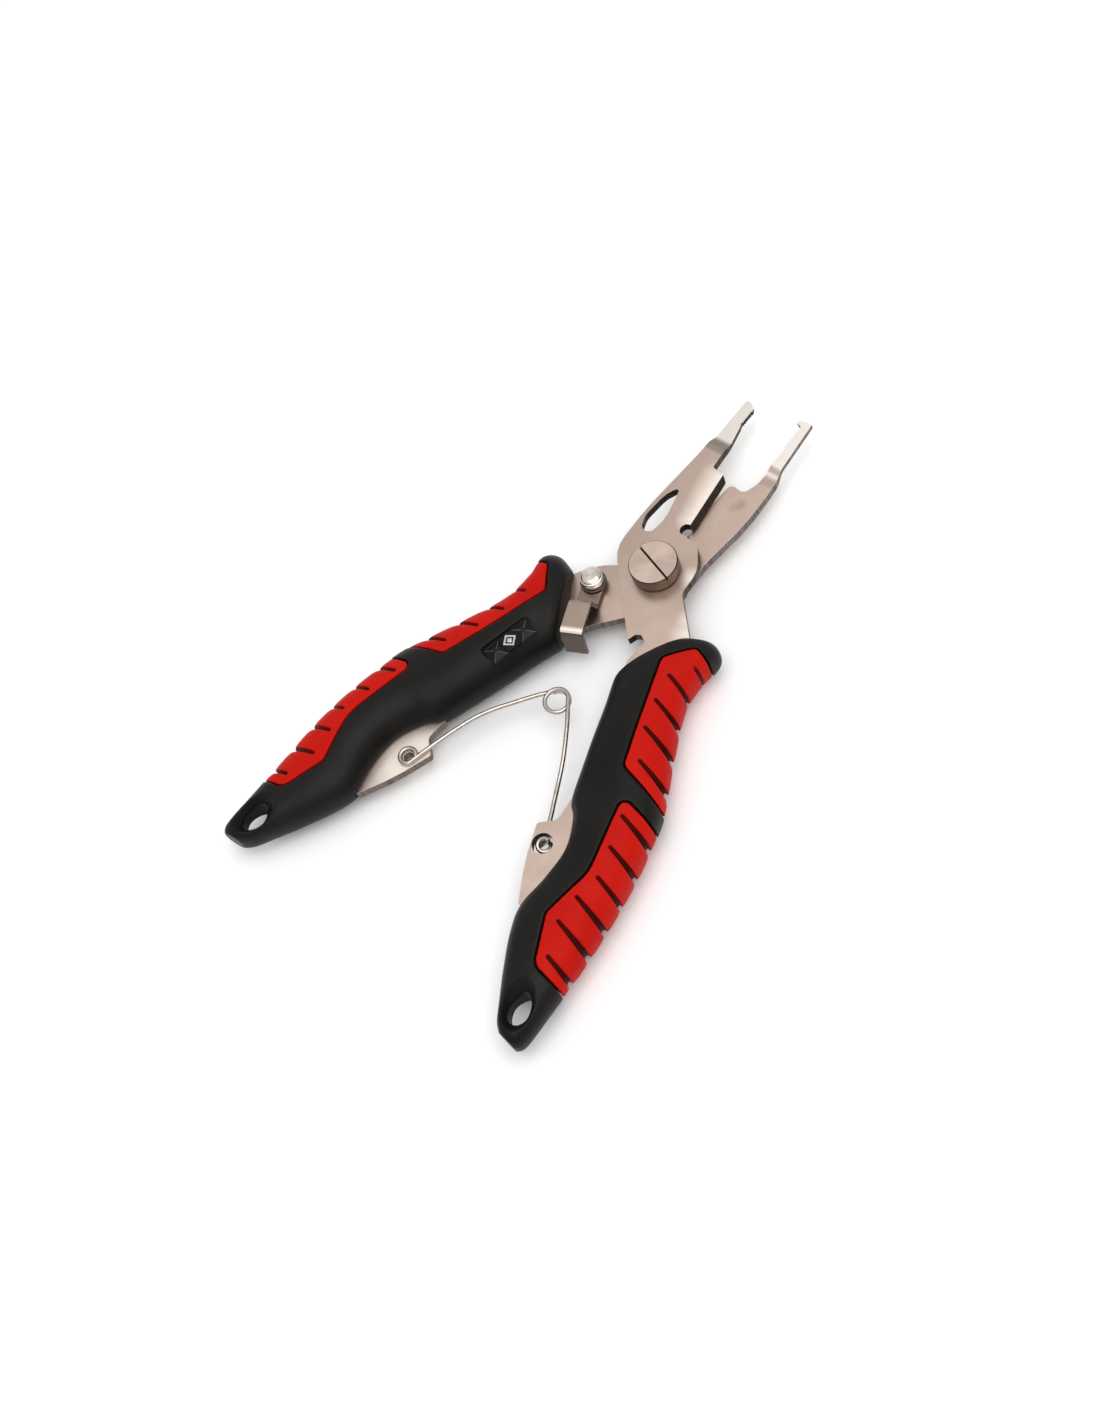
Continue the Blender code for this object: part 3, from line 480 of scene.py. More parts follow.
class Shader:
    """A node tree round one Principled shader, with short ways to add what it needs."""

    def __init__(self, name, color, roughness, metallic, specular=0.5):
        self.material = bpy.data.materials.new(name)
        self.material.use_nodes = True
        self.tree = self.material.node_tree
        self.shader = self.tree.nodes["Principled BSDF"]
        self.shader.inputs["Base Color"].default_value = (*color, 1.0)
        self.shader.inputs["Roughness"].default_value = roughness
        self.shader.inputs["Metallic"].default_value = metallic
        self.shader.inputs["Specular IOR Level"].default_value = specular
        self.place = self.tree.nodes.new("ShaderNodeTexCoord").outputs["Object"]
        self.height = None

    def link(self, source, target):
        self.tree.links.new(source, target)

    def noise(self, scale, detail=3.0, stretch=(1.0, 1.0, 1.0), turn=0.0):
        mapping = self.tree.nodes.new("ShaderNodeMapping")
        mapping.inputs["Scale"].default_value = stretch
        mapping.inputs["Rotation"].default_value = (0.0, 0.0, turn)
        self.link(self.place, mapping.inputs["Vector"])
        made = self.tree.nodes.new("ShaderNodeTexNoise")
        made.inputs["Scale"].default_value = scale
        made.inputs["Detail"].default_value = detail
        self.link(mapping.outputs["Vector"], made.inputs["Vector"])
        return made.outputs["Fac"]

    def ranged(self, value, low, high, to_low, to_high):
        """The value's range from low to high stretched to another range."""
        made = self.tree.nodes.new("ShaderNodeMapRange")
        sockets = ("From Min", "From Max", "To Min", "To Max")
        for socket, number in zip(sockets, (low, high, to_low, to_high)):
            made.inputs[socket].default_value = number
        self.link(value, made.inputs["Value"])
        return made.outputs["Result"]

    def math(self, kind, first, second):
        made = self.tree.nodes.new("ShaderNodeMath")
        made.operation = kind
        for socket, value in zip(made.inputs, (first, second)):
            if isinstance(value, float):
                socket.default_value = value
            else:
                self.link(value, socket)
        return made.outputs["Value"]

    def mixed(self, share, first, second):
        made = self.tree.nodes.new("ShaderNodeMix")
        made.data_type = "RGBA"
        self.link(share, made.inputs["Factor"])
        for socket, color in zip((made.inputs[6], made.inputs[7]), (first, second)):
            if isinstance(color, tuple):
                socket.default_value = (*color, 1.0)
            else:
                self.link(color, socket)
        return made.outputs[2]

    def near(self, x, y, inner, outer):
        """1 close to a place in plan, in millimetres, falling to 0 at the outer distance."""
        flat = self.tree.nodes.new("ShaderNodeVectorMath")
        flat.operation = "MULTIPLY"
        flat.inputs[1].default_value = (1.0, 1.0, 0.0)
        self.link(self.place, flat.inputs[0])
        gap = self.tree.nodes.new("ShaderNodeVectorMath")
        gap.operation = "DISTANCE"
        gap.inputs[1].default_value = (mm(x), mm(y), 0.0)
        self.link(flat.outputs["Vector"], gap.inputs[0])
        return self.ranged(gap.outputs["Value"], mm(inner), mm(outer), 1.0, 0.0)

    def band(self, value, low, high, strength):
        """The strength between two distances in millimetres, with a soft edge at each, and 0 elsewhere."""
        rise = self.ranged(value, mm(low - BAND_SOFT), mm(low + BAND_SOFT), 0.0, strength)
        fall = self.ranged(value, mm(high - BAND_SOFT), mm(high + BAND_SOFT), 1.0, 0.0)
        return self.math("MULTIPLY", rise, fall)

    def largest(self, values):
        most = values[0]
        for value in values[1:]:
            most = self.math("MAXIMUM", most, value)
        return most

    def facing(self, blend, low, high):
        """0 where the surface faces the viewer, 1 where it turns away."""
        made = self.tree.nodes.new("ShaderNodeLayerWeight")
        made.inputs["Blend"].default_value = blend
        return self.ranged(made.outputs["Facing"], low, high, 0.0, 1.0)

    def color(self, value):
        self.link(value, self.shader.inputs["Base Color"])

    def roughness(self, value):
        self.link(value, self.shader.inputs["Roughness"])

    def bump(self, value, depth, strength=1.0):
        made = self.tree.nodes.new("ShaderNodeBump")
        made.inputs["Distance"].default_value = mm(depth)
        made.inputs["Strength"].default_value = strength
        self.link(value, made.inputs["Height"])
        if self.height is not None:
            self.link(self.height, made.inputs["Normal"])
        self.height = made.outputs["Normal"]
        self.link(self.height, self.shader.inputs["Normal"])


def scaled(color, share):
    return tuple(share * part for part in color)


def satin_steel(name, share=1.0, marks=(), painted_highlights=(), nose=None, bands=()):
    """Satin stainless: soft clouds, drawn lines and painted shade towards negative x, with any smudges and
    painted highlights.

    A nose is a paler tone beyond the bend, and bands are painted shade and highlight that cross it.
    """
    made = Shader(name, STEEL, 0.33, 1.0)
    base = scaled(STEEL, share)
    cloud = made.noise(95.0, 4.0)
    broad = made.noise(38.0, 1.0)
    lines = made.noise(900.0, 0.0, (1.0, 0.03, 0.3), math.radians(24.0))
    tone = made.mixed(made.ranged(broad, 0.38, 0.64, 0.0, 1.0), scaled(base, 0.88), scaled(base, 1.04))
    tone = made.mixed(made.ranged(cloud, 0.42, 0.75, 0.0, 0.45), tone, scaled(base, 0.8))
    tone = made.mixed(made.ranged(lines, 0.3, 0.8, 0.0, 0.2), tone, scaled(base, 0.85))
    along = made.tree.nodes.new("ShaderNodeSeparateXYZ")
    made.link(made.place, along.inputs["Vector"])
    across, length = along.outputs["X"], along.outputs["Y"]
    # Painted shade: darker towards negative x, over the jaws and hub
    left = made.ranged(across, mm(-14.0), mm(-2.0), 0.5, 0.0)
    shaded = made.math("MULTIPLY", left, made.ranged(length, mm(-30.0), mm(-5.0), 0.0, 1.0))
    tone = made.mixed(shaded, tone, scaled(base, 0.7))
    # Painted highlights: paler and less metallic near each spot
    if painted_highlights:
        highlight_mask = made.largest([made.near(*spot) for spot in painted_highlights])
        tone = made.mixed(made.math("MULTIPLY", highlight_mask, 0.8), tone, (0.98, 0.88, 0.78))
        made.link(made.ranged(highlight_mask, 0.0, 1.0, 1.0, 0.55), made.shader.inputs["Metallic"])
    if nose is not None:
        tone = made.mixed(made.ranged(length, mm(NOSE_START), mm(NOSE_FULL), 0.0, 1.0), tone, nose)
    # Painted shade and highlight bands across the bends
    for low, high, band_tone, strength in bands:
        tone = made.mixed(made.band(length, low, high, strength), tone, band_tone)
    for x, y, inner, outer, strength in marks:
        patchy = made.ranged(cloud, 0.3, 0.7, 0.2, strength)
        patch = made.math("MULTIPLY", made.near(x, y, inner, outer), patchy)
        tone = made.mixed(patch, tone, (0.26, 0.19, 0.155))
    made.color(tone)
    made.roughness(made.ranged(made.noise(260.0, 3.0), 0.3, 0.75, 0.27, 0.37))
    made.bump(made.noise(45.0, 2.0), 0.03, 0.25)
    return made.material


def cut_edge(name, color):
    """The sheared wall of a stamped plate, drawn upright, in a darker colour that is painted shade."""
    made = Shader(name, color, 0.42, 1.0)
    streak = made.noise(1400.0, 3.0, (1.0, 1.0, 0.12))
    made.color(made.mixed(made.ranged(streak, 0.35, 0.7, 0.0, 1.0), color, scaled(color, 0.55)))
    made.roughness(made.ranged(streak, 0.3, 0.7, 0.36, 0.55))
    made.bump(streak, 0.01, 0.5)
    return made.material


def turned_steel(name, color, roughness, x, y):
    """Steel faced off in a lathe: fine rings round an upright axis, and a painted reflection of the bright
    fan that they throw.
    """
    made = Shader(name, color, roughness, 1.0)
    shift = made.tree.nodes.new("ShaderNodeMapping")
    shift.inputs["Location"].default_value = (-mm(x), -mm(y), 0.0)
    made.link(made.place, shift.inputs["Vector"])
    rings = made.tree.nodes.new("ShaderNodeTexWave")
    rings.wave_type = "RINGS"
    rings.rings_direction = "Z"
    rings.inputs["Scale"].default_value = 1500.0
    rings.inputs["Distortion"].default_value = 1.2
    rings.inputs["Detail"].default_value = 2.0
    made.link(shift.outputs["Vector"], rings.inputs["Vector"])
    ring = rings.outputs["Fac"]
    cloud = made.noise(420.0, 4.0)
    # Painted reflection: bright and dark sectors round the axis
    around = made.tree.nodes.new("ShaderNodeTexGradient")
    around.gradient_type = "RADIAL"
    made.link(shift.outputs["Vector"], around.inputs["Vector"])
    fan = made.math("SINE", made.math("MULTIPLY", around.outputs["Fac"], 4.0 * math.pi), 0.0)
    tone = made.mixed(made.ranged(fan, -1.0, 1.0, 0.0, 1.0), color, scaled(color, 0.74))
    made.color(made.mixed(made.ranged(cloud, 0.35, 0.7, 0.0, 0.6), tone, scaled(color, 0.8)))
    made.roughness(made.ranged(cloud, 0.3, 0.7, roughness - 0.05, roughness + 0.08))
    made.bump(ring, 0.004, 0.4)
    made.shader.inputs["Anisotropic"].default_value = 0.6
    return made.material


def drawn_wire(name):
    """Bright wire with painted shade that darkens it towards its edges, as thin polished wire looks."""
    made = Shader(name, (0.5, 0.45, 0.4), 0.22, 1.0)
    streak = made.noise(700.0, 3.0)
    tone = made.mixed(made.ranged(streak, 0.4, 0.7, 0.0, 1.0), (0.56, 0.505, 0.455), (0.42, 0.375, 0.33))
    # Painted shade towards the wire's edges
    made.color(made.mixed(made.facing(0.5, 0.42, 0.9), tone, (0.06, 0.05, 0.042)))
    made.roughness(made.ranged(streak, 0.3, 0.7, 0.2, 0.3))
    made.bump(streak, 0.004, 0.3)
    return made.material


def black_plastic(name):
    """Matt moulded plastic with a fine grain."""
    made = Shader(name, (0.006, 0.0055, 0.0048), 0.42, 0.0, 0.13)
    grain = made.noise(3600.0, 2.0)
    cloud = made.noise(70.0, 4.0)
    share = made.ranged(cloud, 0.35, 0.7, 0.0, 1.0)
    made.color(made.mixed(share, (0.0052, 0.0047, 0.004), (0.0105, 0.0094, 0.0078)))
    made.roughness(made.ranged(made.noise(180.0, 4.0), 0.3, 0.75, 0.34, 0.48))
    made.bump(grain, 0.02, 0.35)
    made.bump(made.noise(160.0, 3.0), 0.05, 0.18)
    return made.material


def red_rubber(name):
    """Soft red rubber with painted shade, nearly black, where the mesh attribute marks a groove."""
    made = Shader(name, (0.47, 0.007, 0.003), 0.5, 0.0, 0.06)
    grain = made.noise(3000.0, 2.0)
    cloud = made.noise(85.0, 4.0)
    tone = made.mixed(made.ranged(cloud, 0.35, 0.7, 0.0, 1.0), (0.50, 0.008, 0.0034), (0.43, 0.006, 0.0026))
    # Painted shade in the grooves, from the mesh attribute
    mark = made.tree.nodes.new("ShaderNodeAttribute")
    mark.attribute_name = "groove"
    made.color(made.mixed(mark.outputs["Fac"], tone, (0.035, 0.003, 0.002)))
    made.roughness(made.ranged(made.noise(210.0, 4.0), 0.3, 0.75, 0.42, 0.58))
    made.bump(grain, 0.02, 0.3)
    made.bump(made.noise(150.0, 3.0), 0.05, 0.15)
    return made.material


def gloss_black(name, tone):
    """Gloss plastic with faint clouds; a higher tone is greyer."""
    color = (tone, tone, tone)
    made = Shader(name, color, 0.12, 0.0, 0.12)
    cloud = made.noise(300.0, 4.0)
    made.color(made.mixed(made.ranged(cloud, 0.4, 0.7, 0.0, 1.0), color, scaled(color, 1.6)))
    made.roughness(made.ranged(cloud, 0.3, 0.7, 0.08, 0.2))
    made.bump(made.noise(500.0, 2.0), 0.01, 0.3)
    return made.material


# ---------------------------------------------------------------- finishing a piece


def finished(piece, body, node, material, wall=None, steep=0.45, rim=None):
    """Gives a piece its materials (walls may take a painted-shade material and rims a painted-highlight one),
    its body and the CAD node it stands for.

    Walls are the faces whose normals have a z below steep. A piece with no body is not attached to one.
    """
    piece.data.materials.clear()
    piece.data.materials.append(material)
    for other in (wall, rim):
        if other is not None:
            piece.data.materials.append(other)
    for face in piece.data.polygons:
        face.material_index = 0
        # Walls take the painted-shade material
        if wall is not None and abs(face.normal.z) < steep:
            face.material_index = 1
        # Rims take the painted-highlight material
        elif rim is not None and abs(face.normal.z) < 0.985 and abs(face.normal.x) > 0.15:
            face.material_index = 2
    if body is not None:
        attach(piece, body)
    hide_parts(node)


# ---------------------------------------------------------------- steel


def heights(node):
    """The lowest and highest z of a CAD node, in millimetres."""
    low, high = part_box(node)
    return low.z * 1000.0, high.z * 1000.0


def radius_of(node):
    """Half the width of a round CAD node, in millimetres."""
    low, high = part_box(node)
    return (high.x - low.x) * 500.0


def ring_profile(inner, outer, low, high, radius):
    corners = [(inner, high, radius), (outer, high, radius), (outer, low, radius), (inner, low, radius)]
    return fillet(corners, 22.5)


def blade(node, body, steel, wall, rim):
    """A stamped blade: the CAD plate with its flat faces joined and all its edges eased."""
    piece = copied(NODES[node], node + "_plate")
    piece = bevelled(piece, 0.28, 3, 40.0)
    finished(piece, body, node, steel, wall, 0.45, rim)


def pivot_screw(steel, shaded_steel, line):
    """The slotted screw head with its shank; line is the painted-shade material of its slot's floor and its
    rim.
    """
    low, top = heights("pivot_screw")
    radius = radius_of("pivot_screw")
    head_low = MID_Z + LAP_GAP / 2 + PLATE + 0.2
    profile = fillet(
        [
            (0.0, top, 0.0),
            (radius - 0.2, top, 0.03),
            (radius, top - 0.2, 0.05),
            (radius, head_low + 0.5, 0.0),
            (radius - 0.25, head_low + 0.35, 0.05),
            (radius - 0.25, head_low, 0.05),
            (PIVOT_SHANK_R, head_low, 0.1),
            (PIVOT_SHANK_R, low, 0.2),
            (0.0, low, 0.0),
        ],
        30.0,
    )
    screw = turned("pivot_head", 0.0, 0.0, profile, 128)
    floor = top - PIVOT_SLOT_DEEP
    slot = slab("pivot_slot", fillet(rectangle(PIVOT_SLOT_LONG, PIVOT_SLOT)), floor, top + 1.0)
    slot.data.transform(Matrix.Rotation(math.radians(PIVOT_SLOT_ANGLE), 4, "Z"))
    screw = combined("DIFFERENCE", screw, slot)
    screw = bevelled(screw, 0.06, 2, 35.0)
    finished(screw, "rear_half", "pivot_screw", steel, shaded_steel)
    # Painted shade on the chamfered rim and on the slot's floor
    screw.data.materials.append(line)
    for face in screw.data.polygons:
        if 0.3 < face.normal.z < 0.95 or abs(face.center.z - mm(floor)) < mm(0.1):
            face.material_index = 2


def pivot_nut(steel, shaded_steel):
    """The washer and the round nut under the rear blade."""
    low, high = heights("pivot_washer")
    profile = ring_profile(PIVOT_BORE_R, radius_of("pivot_washer"), low, high, 0.12)
    washer = turned("pivot_washer_ring", 0.0, 0.0, profile)
    creased(washer, 40.0)
    # The washer is all painted shade
    finished(washer, "rear_half", "pivot_washer", shaded_steel)

    top = heights("pivot_nut")[1]
    radius = radius_of("pivot_nut")
    bore_end = 1.2
    profile = fillet(
        [
            (PIVOT_BORE_R, top, 0.0),
            (radius, top, 0.3),
            (radius, 0.0, 0.5),
            (0.0, 0.0, 0.0),
            (0.0, bore_end, 0.0),
            (PIVOT_BORE_R, bore_end, 0.1),
        ],
        15.0,
    )
    nut = turned("pivot_nut_cap", 0.0, 0.0, profile)
    creased(nut, 40.0)
    finished(nut, "rear_half", "pivot_nut", steel, shaded_steel)


def offset_path(path, distance):
    """An open path moved sideways by a distance, to its left if that is positive."""
    moved = []
    for i, point in enumerate(path):
        before = (point - path[i - 1]).normalized() if i else (path[1] - path[0]).normalized()
        after = (path[i + 1] - point).normalized() if i + 1 < len(path) else before
        along = (before + after).normalized()
        moved.append(point + Vector((-along.y, along.x)) * (distance / along.dot(before)))
    return moved


def lever(sheet, shadowed_sheet, shaded_steel):
    """The bent lever, made along x with its screw hole at the origin, then turned to its place."""
    flat = MID_Z + 0.6
    first = (-3.1, flat, 0.0)
    last = (16.3, MID_Z - 2.0, 0.0)
    line = [first, (6.0, flat, 0.9), (7.6, LATCH_TAB, 0.9), (15.3, LATCH_TAB, 1.0), last]
    # An open path is rounded by closing it far below itself and dropping the closing corners
    far = MID_Z - 60.0
    path = fillet([(first[0], far, 0.0)] + line + [(last[0], far, 0.0)], 8.0)[1:-1]
    outline = offset_path(path, LATCH_THICK / 2) + offset_path(path, -LATCH_THICK / 2)[::-1]
    rings = [[(p.x, y, p.y) for p in outline] for y in (-LATCH_WIDE / 2, LATCH_WIDE / 2)]
    made = lofted("latch_lever_sheet", rings)
    corners = [
        (-LATCH_END, -LATCH_SIDE, 2.6),
        (-LATCH_END, LATCH_SIDE, 2.6),
        (30.0, LATCH_SIDE, 0.0),
        (30.0, -LATCH_SIDE, 0.0),
    ]
    made = combined("INTERSECT", made, slab("latch_keep", fillet(corners), MID_Z - 6.0, MID_Z + 9.0))
    low = MID_Z - 2.0
    high = MID_Z + 3.0
    bore = [(0.0, low), (LATCH_BORE_R, low), (LATCH_BORE_R, high), (0.0, high)]
    made = combined("DIFFERENCE", made, turned("latch_hole", 0.0, 0.0, bore, 48))
    turn = Matrix.Rotation(math.radians(LATCH_ANGLE), 4, "Z")
    made.data.transform(Matrix.Translation((mm(LATCH_X), mm(LATCH_Y), 0.0)) @ turn)
    made = bevelled(made, 0.14, 3, 40.0)
    # Walls in painted shade; the upward faces of the low flat part under the tab take a painted shadow
    finished(made, "latch", "latch_lever", sheet, shaded_steel, 0.6)
    made.data.materials.append(shadowed_sheet)
    for face in made.data.polygons:
        if face.normal.z > 0.6 and face.center.z < mm(LATCH_TAB - 1.0):
            face.material_index = 2


def latch_screw(polished, shaded_steel):
    """The domed screw that holds the lever, and the collar under its head."""
    low, top = heights("latch_screw")
    radius = radius_of("latch_screw")
    washer_low, washer_high = heights("latch_washer")
    head_low = washer_high + 0.15
    profile = fillet(
        [
            (0.0, top, 0.0),
            (radius - 1.0, top - 0.04, 2.0),
            (radius - 0.42, top - 0.42, 0.2),
            (radius - 0.3, top - 0.62, 0.05),
            (radius, top - 0.7, 0.12),
            (radius, top - 1.3, 0.12),
            (radius - 0.22, top - 1.42, 0.05),
            (radius - 0.22, top - 1.62, 0.05),
            (radius - 0.05, top - 1.74, 0.08),
            (radius - 0.05, head_low, 0.1),
            (LATCH_SHANK_R, head_low, 0.0),
            (LATCH_SHANK_R, low, 0.15),
            (0.0, low, 0.0),
        ],
        12.0,
    )
    screw = turned("latch_screw_head", LATCH_X, LATCH_Y, profile)
    creased(screw, 50.0)
    finished(screw, "rear_half", "latch_screw", polished)

    profile = ring_profile(LATCH_BORE_R, LATCH_COLLAR_R, washer_low, washer_high, 0.12)
    washer = turned("latch_collar", LATCH_X, LATCH_Y, profile)
    creased(washer, 50.0)
    # The collar is all painted shade
    finished(washer, "rear_half", "latch_washer", shaded_steel)


def latch_nut(steel, shaded_steel):
    """The nut under the rear blade, with a blind bore for the latch screw."""
    low, top = heights("latch_nut")
    radius = radius_of("latch_nut")
    bore_end = top - 1.3
    profile = fillet(
        [
            (LATCH_BORE_R, top, 0.0),
            (radius, top, 0.15),
            (radius, low, 0.55),
            (0.0, low, 0.0),
            (0.0, bore_end, 0.0),
            (LATCH_BORE_R, bore_end, 0.0),
        ],
        15.0,
    )
    nut = turned("latch_nut_cap", LATCH_X, LATCH_Y, profile)
    creased(nut, 50.0)
    finished(nut, "rear_half", "latch_nut", steel, shaded_steel)


def coiled(centre, radius, start, sweep, levels):
    """Points round an upright axis, evenly over a sweep in degrees, one at each level."""
    points = []
    for k, z in enumerate(levels):
        angle = math.radians(start + sweep * k / (len(levels) - 1))
        points.append((centre.x + radius * math.cos(angle), centre.y + radius * math.sin(angle), z))
    return points


def sloped(plan, start_z, end_z, run):
    """Points in plan, with heights that ease from one level to another over the first few."""
    return [(x, y, start_z + (end_z - start_z) * smoothstep(i / run)) for i, (x, y) in enumerate(plan)]


def spring(wire):
    """The torsion spring in three lengths of one wire: two arms and the coil between them."""
    eye_centre = Vector((-SPRING_HOLE.x, SPRING_HOLE.y))
    eye = coiled(eye_centre, EYE_R, 20.0, 300.0, [EYE_Z] * 25)
    levels = [COIL_LOW_Z + (COIL_HIGH_Z - COIL_LOW_Z) * k / 96 for k in range(97)]
    coil = coiled(COIL, COIL_R, 140.0, -470.0, levels)
    levels = [CURL_LOW_Z + (CURL_HIGH_Z - CURL_LOW_Z) * min(1.0, (k + 1) / 32) for k in range(33)]
    curl = coiled(SPRING_HOLE, CURL_R, 180.0, -480.0, levels)
    rear = sloped(REAR_ARM, EYE_Z, COIL_LOW_Z, 5.0)
    front = sloped(FRONT_ARM, COIL_HIGH_Z, CURL_LOW_Z, 3.5)
    rear = eye[:-1] + curved([eye[-1]] + rear + [coil[0]], 8)[:-1]
    front = curved([coil[-1]] + front + [curl[0]], 8)[:-1] + curl
    # The arms run on into the coil and share points with its middle length
    left = tube("spring_left_arm", rear + coil[:9], WIRE_R)
    middle = tube("spring_coil", coil[8:-8], WIRE_R)
    right = tube("spring_right_arm", coil[-9:-1] + front, WIRE_R)
    for piece in (left, middle, right):
        creased(piece, 60.0)
        finished(piece, None, "torsion_spring", wire)
    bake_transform(left)
    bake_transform(middle)
    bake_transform(right)


# ---------------------------------------------------------------- handles


def rounded_power(value):
    """A sine or cosine bent so that a circle becomes the handle's squarer section."""
    return math.copysign(abs(value) ** (2.0 / HANDLE_ROUNDNESS), value)


def handle_form(name, outer_cut=0.0, height_cut=0.0, inner_cut=0.0):
    """The right handle's smooth outer form, or a smaller one inside it by a cut from each side."""
    rings = []
    for inner_x, inner_y, outer_x, outer_y, half_height in curved(HANDLE, SECTION_STEPS):
        inner = Vector((inner_x, inner_y))
        outer = Vector((outer_x, outer_y))
        across = (outer - inner).normalized()
        outer -= across * outer_cut
        inner += across * inner_cut
        middle = (inner + outer) / 2
        reach = (outer - inner) / 2
        height = half_height - height_cut
        middle_z = max(MID_Z, half_height)
        ring = []
        for k in range(RING_POINTS):
            angle = 2.0 * math.pi * k / RING_POINTS
            place = middle + reach * rounded_power(math.cos(angle))
            ring.append((place.x, place.y, middle_z + height * rounded_power(math.sin(angle))))
        rings.append(ring)
    return lofted(name, rings)


def grip_prism(name, end, grow):
    """A grip's plan outline, grown by a distance, as an upright prism through the handle."""
    return slab(name, inset(fillet(GRIP_PLANS[end]), -grow), CUT_LOW, CUT_HIGH)


def groove_cutter(end):
    """Wedges across a grip, narrow and round at their inner ends, kept to the skin of the rubber."""
    narrow = GROOVE_NARROW / 2
    broad = GROOVE_BROAD / 2
    corners = [
        (-narrow, -narrow, narrow),
        (GROOVE_LONG, -broad, 0.0),
        (GROOVE_LONG, broad, 0.0),
        (-narrow, narrow, narrow),
    ]
    turn = Matrix.Rotation(math.radians(GROOVE_ANGLE), 4, "Z")
    cutter = None
    for x, y in GROOVES[end]:
        wedge = slab("groove", fillet(corners, 20.0), CUT_LOW, CUT_HIGH)
        wedge.data.transform(Matrix.Translation((mm(x), mm(y), 0.0)) @ turn)
        cutter = wedge if cutter is None else combined("UNION", cutter, wedge)
    return combined("DIFFERENCE", cutter, handle_form("groove_floor", GROOVE_DEEP, GROOVE_DEEP, GROOVE_DEEP))


def lobed(piece, end):
    """Draws the rubber in beside each groove, so that it swells between them, and marks the grooves for
    painted shade.
    """
    count = len(piece.data.vertices)
    places = np.empty(3 * count, np.float32)
    normals = np.empty(3 * count, np.float32)
    piece.data.vertices.foreach_get("co", places)
    piece.data.vertex_normals.foreach_get("vector", normals)
    places = places.reshape(count, 3)
    normals = normals.reshape(count, 3)
    turn = math.radians(GROOVE_ANGLE)
    ahead = Vector((math.cos(turn), math.sin(turn)))
    dip = np.zeros(count)
    shade = np.zeros(count)
    for x, y in GROOVES[end]:
        from_x = places[:, 0] * 1000.0 - x
        from_y = places[:, 1] * 1000.0 - y
        run = from_x * ahead.x + from_y * ahead.y
        off = ahead.x * from_y - ahead.y * from_x
        rise = np.clip(run / LOBE_RUN, 0.0, 1.0)
        fall = np.exp(-((off / LOBE_REACH) ** 2))
        dip = np.maximum(dip, fall * rise * rise * (3.0 - 2.0 * rise))
        past = np.minimum(run, 0.0)
        half_width = (GROOVE_NARROW + run.clip(0.0) * GROOVE_FLARE) / 2
        away = np.sqrt(off ** 2 + past ** 2) - half_width
        shade = np.maximum(shade, np.clip(0.5 - away / SHADE_EDGE, 0.0, 1.0))
    places -= normals * (dip * mm(LOBE_DIP))[:, None].astype(np.float32)
    piece.data.vertices.foreach_set("co", places.ravel())
    # The painted shade of the grooves, kept as a mesh attribute
    mark = piece.data.attributes.new("groove", "FLOAT", "POINT")
    mark.data.foreach_set("value", shade.astype(np.float32))
    piece.data.update()


def grips(red):
    """The four rubber pads; the left pair mirrors the right pair."""
    for end in ("front", "rear"):
        pad = handle_form("grip_form", GRIP_SINK, GRIP_SINK, GRIP_SINK)
        pad = combined("INTERSECT", pad, grip_prism("grip_plan", end, -SEAM))
        pad = combined("DIFFERENCE", pad, handle_form("grip_core", GRIP_SIDE, GRIP_SKIN))
        pad = combined("DIFFERENCE", pad, groove_cutter(end))
        pad = moulded(pad, PAD_VOXEL, 3)
        lobed(pad, end)
        for side, body in (("right", "front_half"), ("left", "rear_half")):
            name = "%s_%s_pad" % (side, end)
            piece = copied(pad, name) if side == "right" else flipped(pad, name)
            finished(piece, body, "%s_grip_%s" % (side, end), red)
        bpy.data.objects.remove(pad)


def lanyard_cutters():
    """The slanting oval hole through the handle's end and the hollow round each of its mouths."""
    x, y = LANYARD
    corners = [
        (x - 1.0, y + 5.2, 9.0),
        (x - 2.8, y, 9.0),
        (x, y - 3.4, 9.0),
        (x + 2.8, y - 1.0, 9.0),
        (x + 1.6, y + 3.4, 9.0),
    ]
    made = [slab("lanyard_hole", fillet(corners), CUT_LOW, CUT_HIGH)]
    turn = Matrix.Rotation(math.radians(LANYARD_TURN), 2)
    for up in (1, -1):
        rings = []
        for lift, reach in LANYARD_HOLLOW:
            ring = []
            for k in range(48):
                angle = 2.0 * math.pi * k / 48
                place = turn @ Vector((reach * math.cos(angle), LANYARD_OVAL * reach * math.sin(angle)))
                ring.append((x + place.x, y + 0.4 + place.y, MID_Z + up * lift))
            rings.append(ring)
        made.append(lofted("lanyard_hollow", rings))
    return made


def tang_slot(node):
    """A cutter a little larger than a blade, for the handle moulded round its tang."""
    slot = copied(NODES[node], "slot")
    welded(slot)
    grow = slot.modifiers.new("grow", "DISPLACE")
    grow.strength = mm(SLOT_ROOM)
    grow.mid_level = 0.0
    return as_mesh(slot)


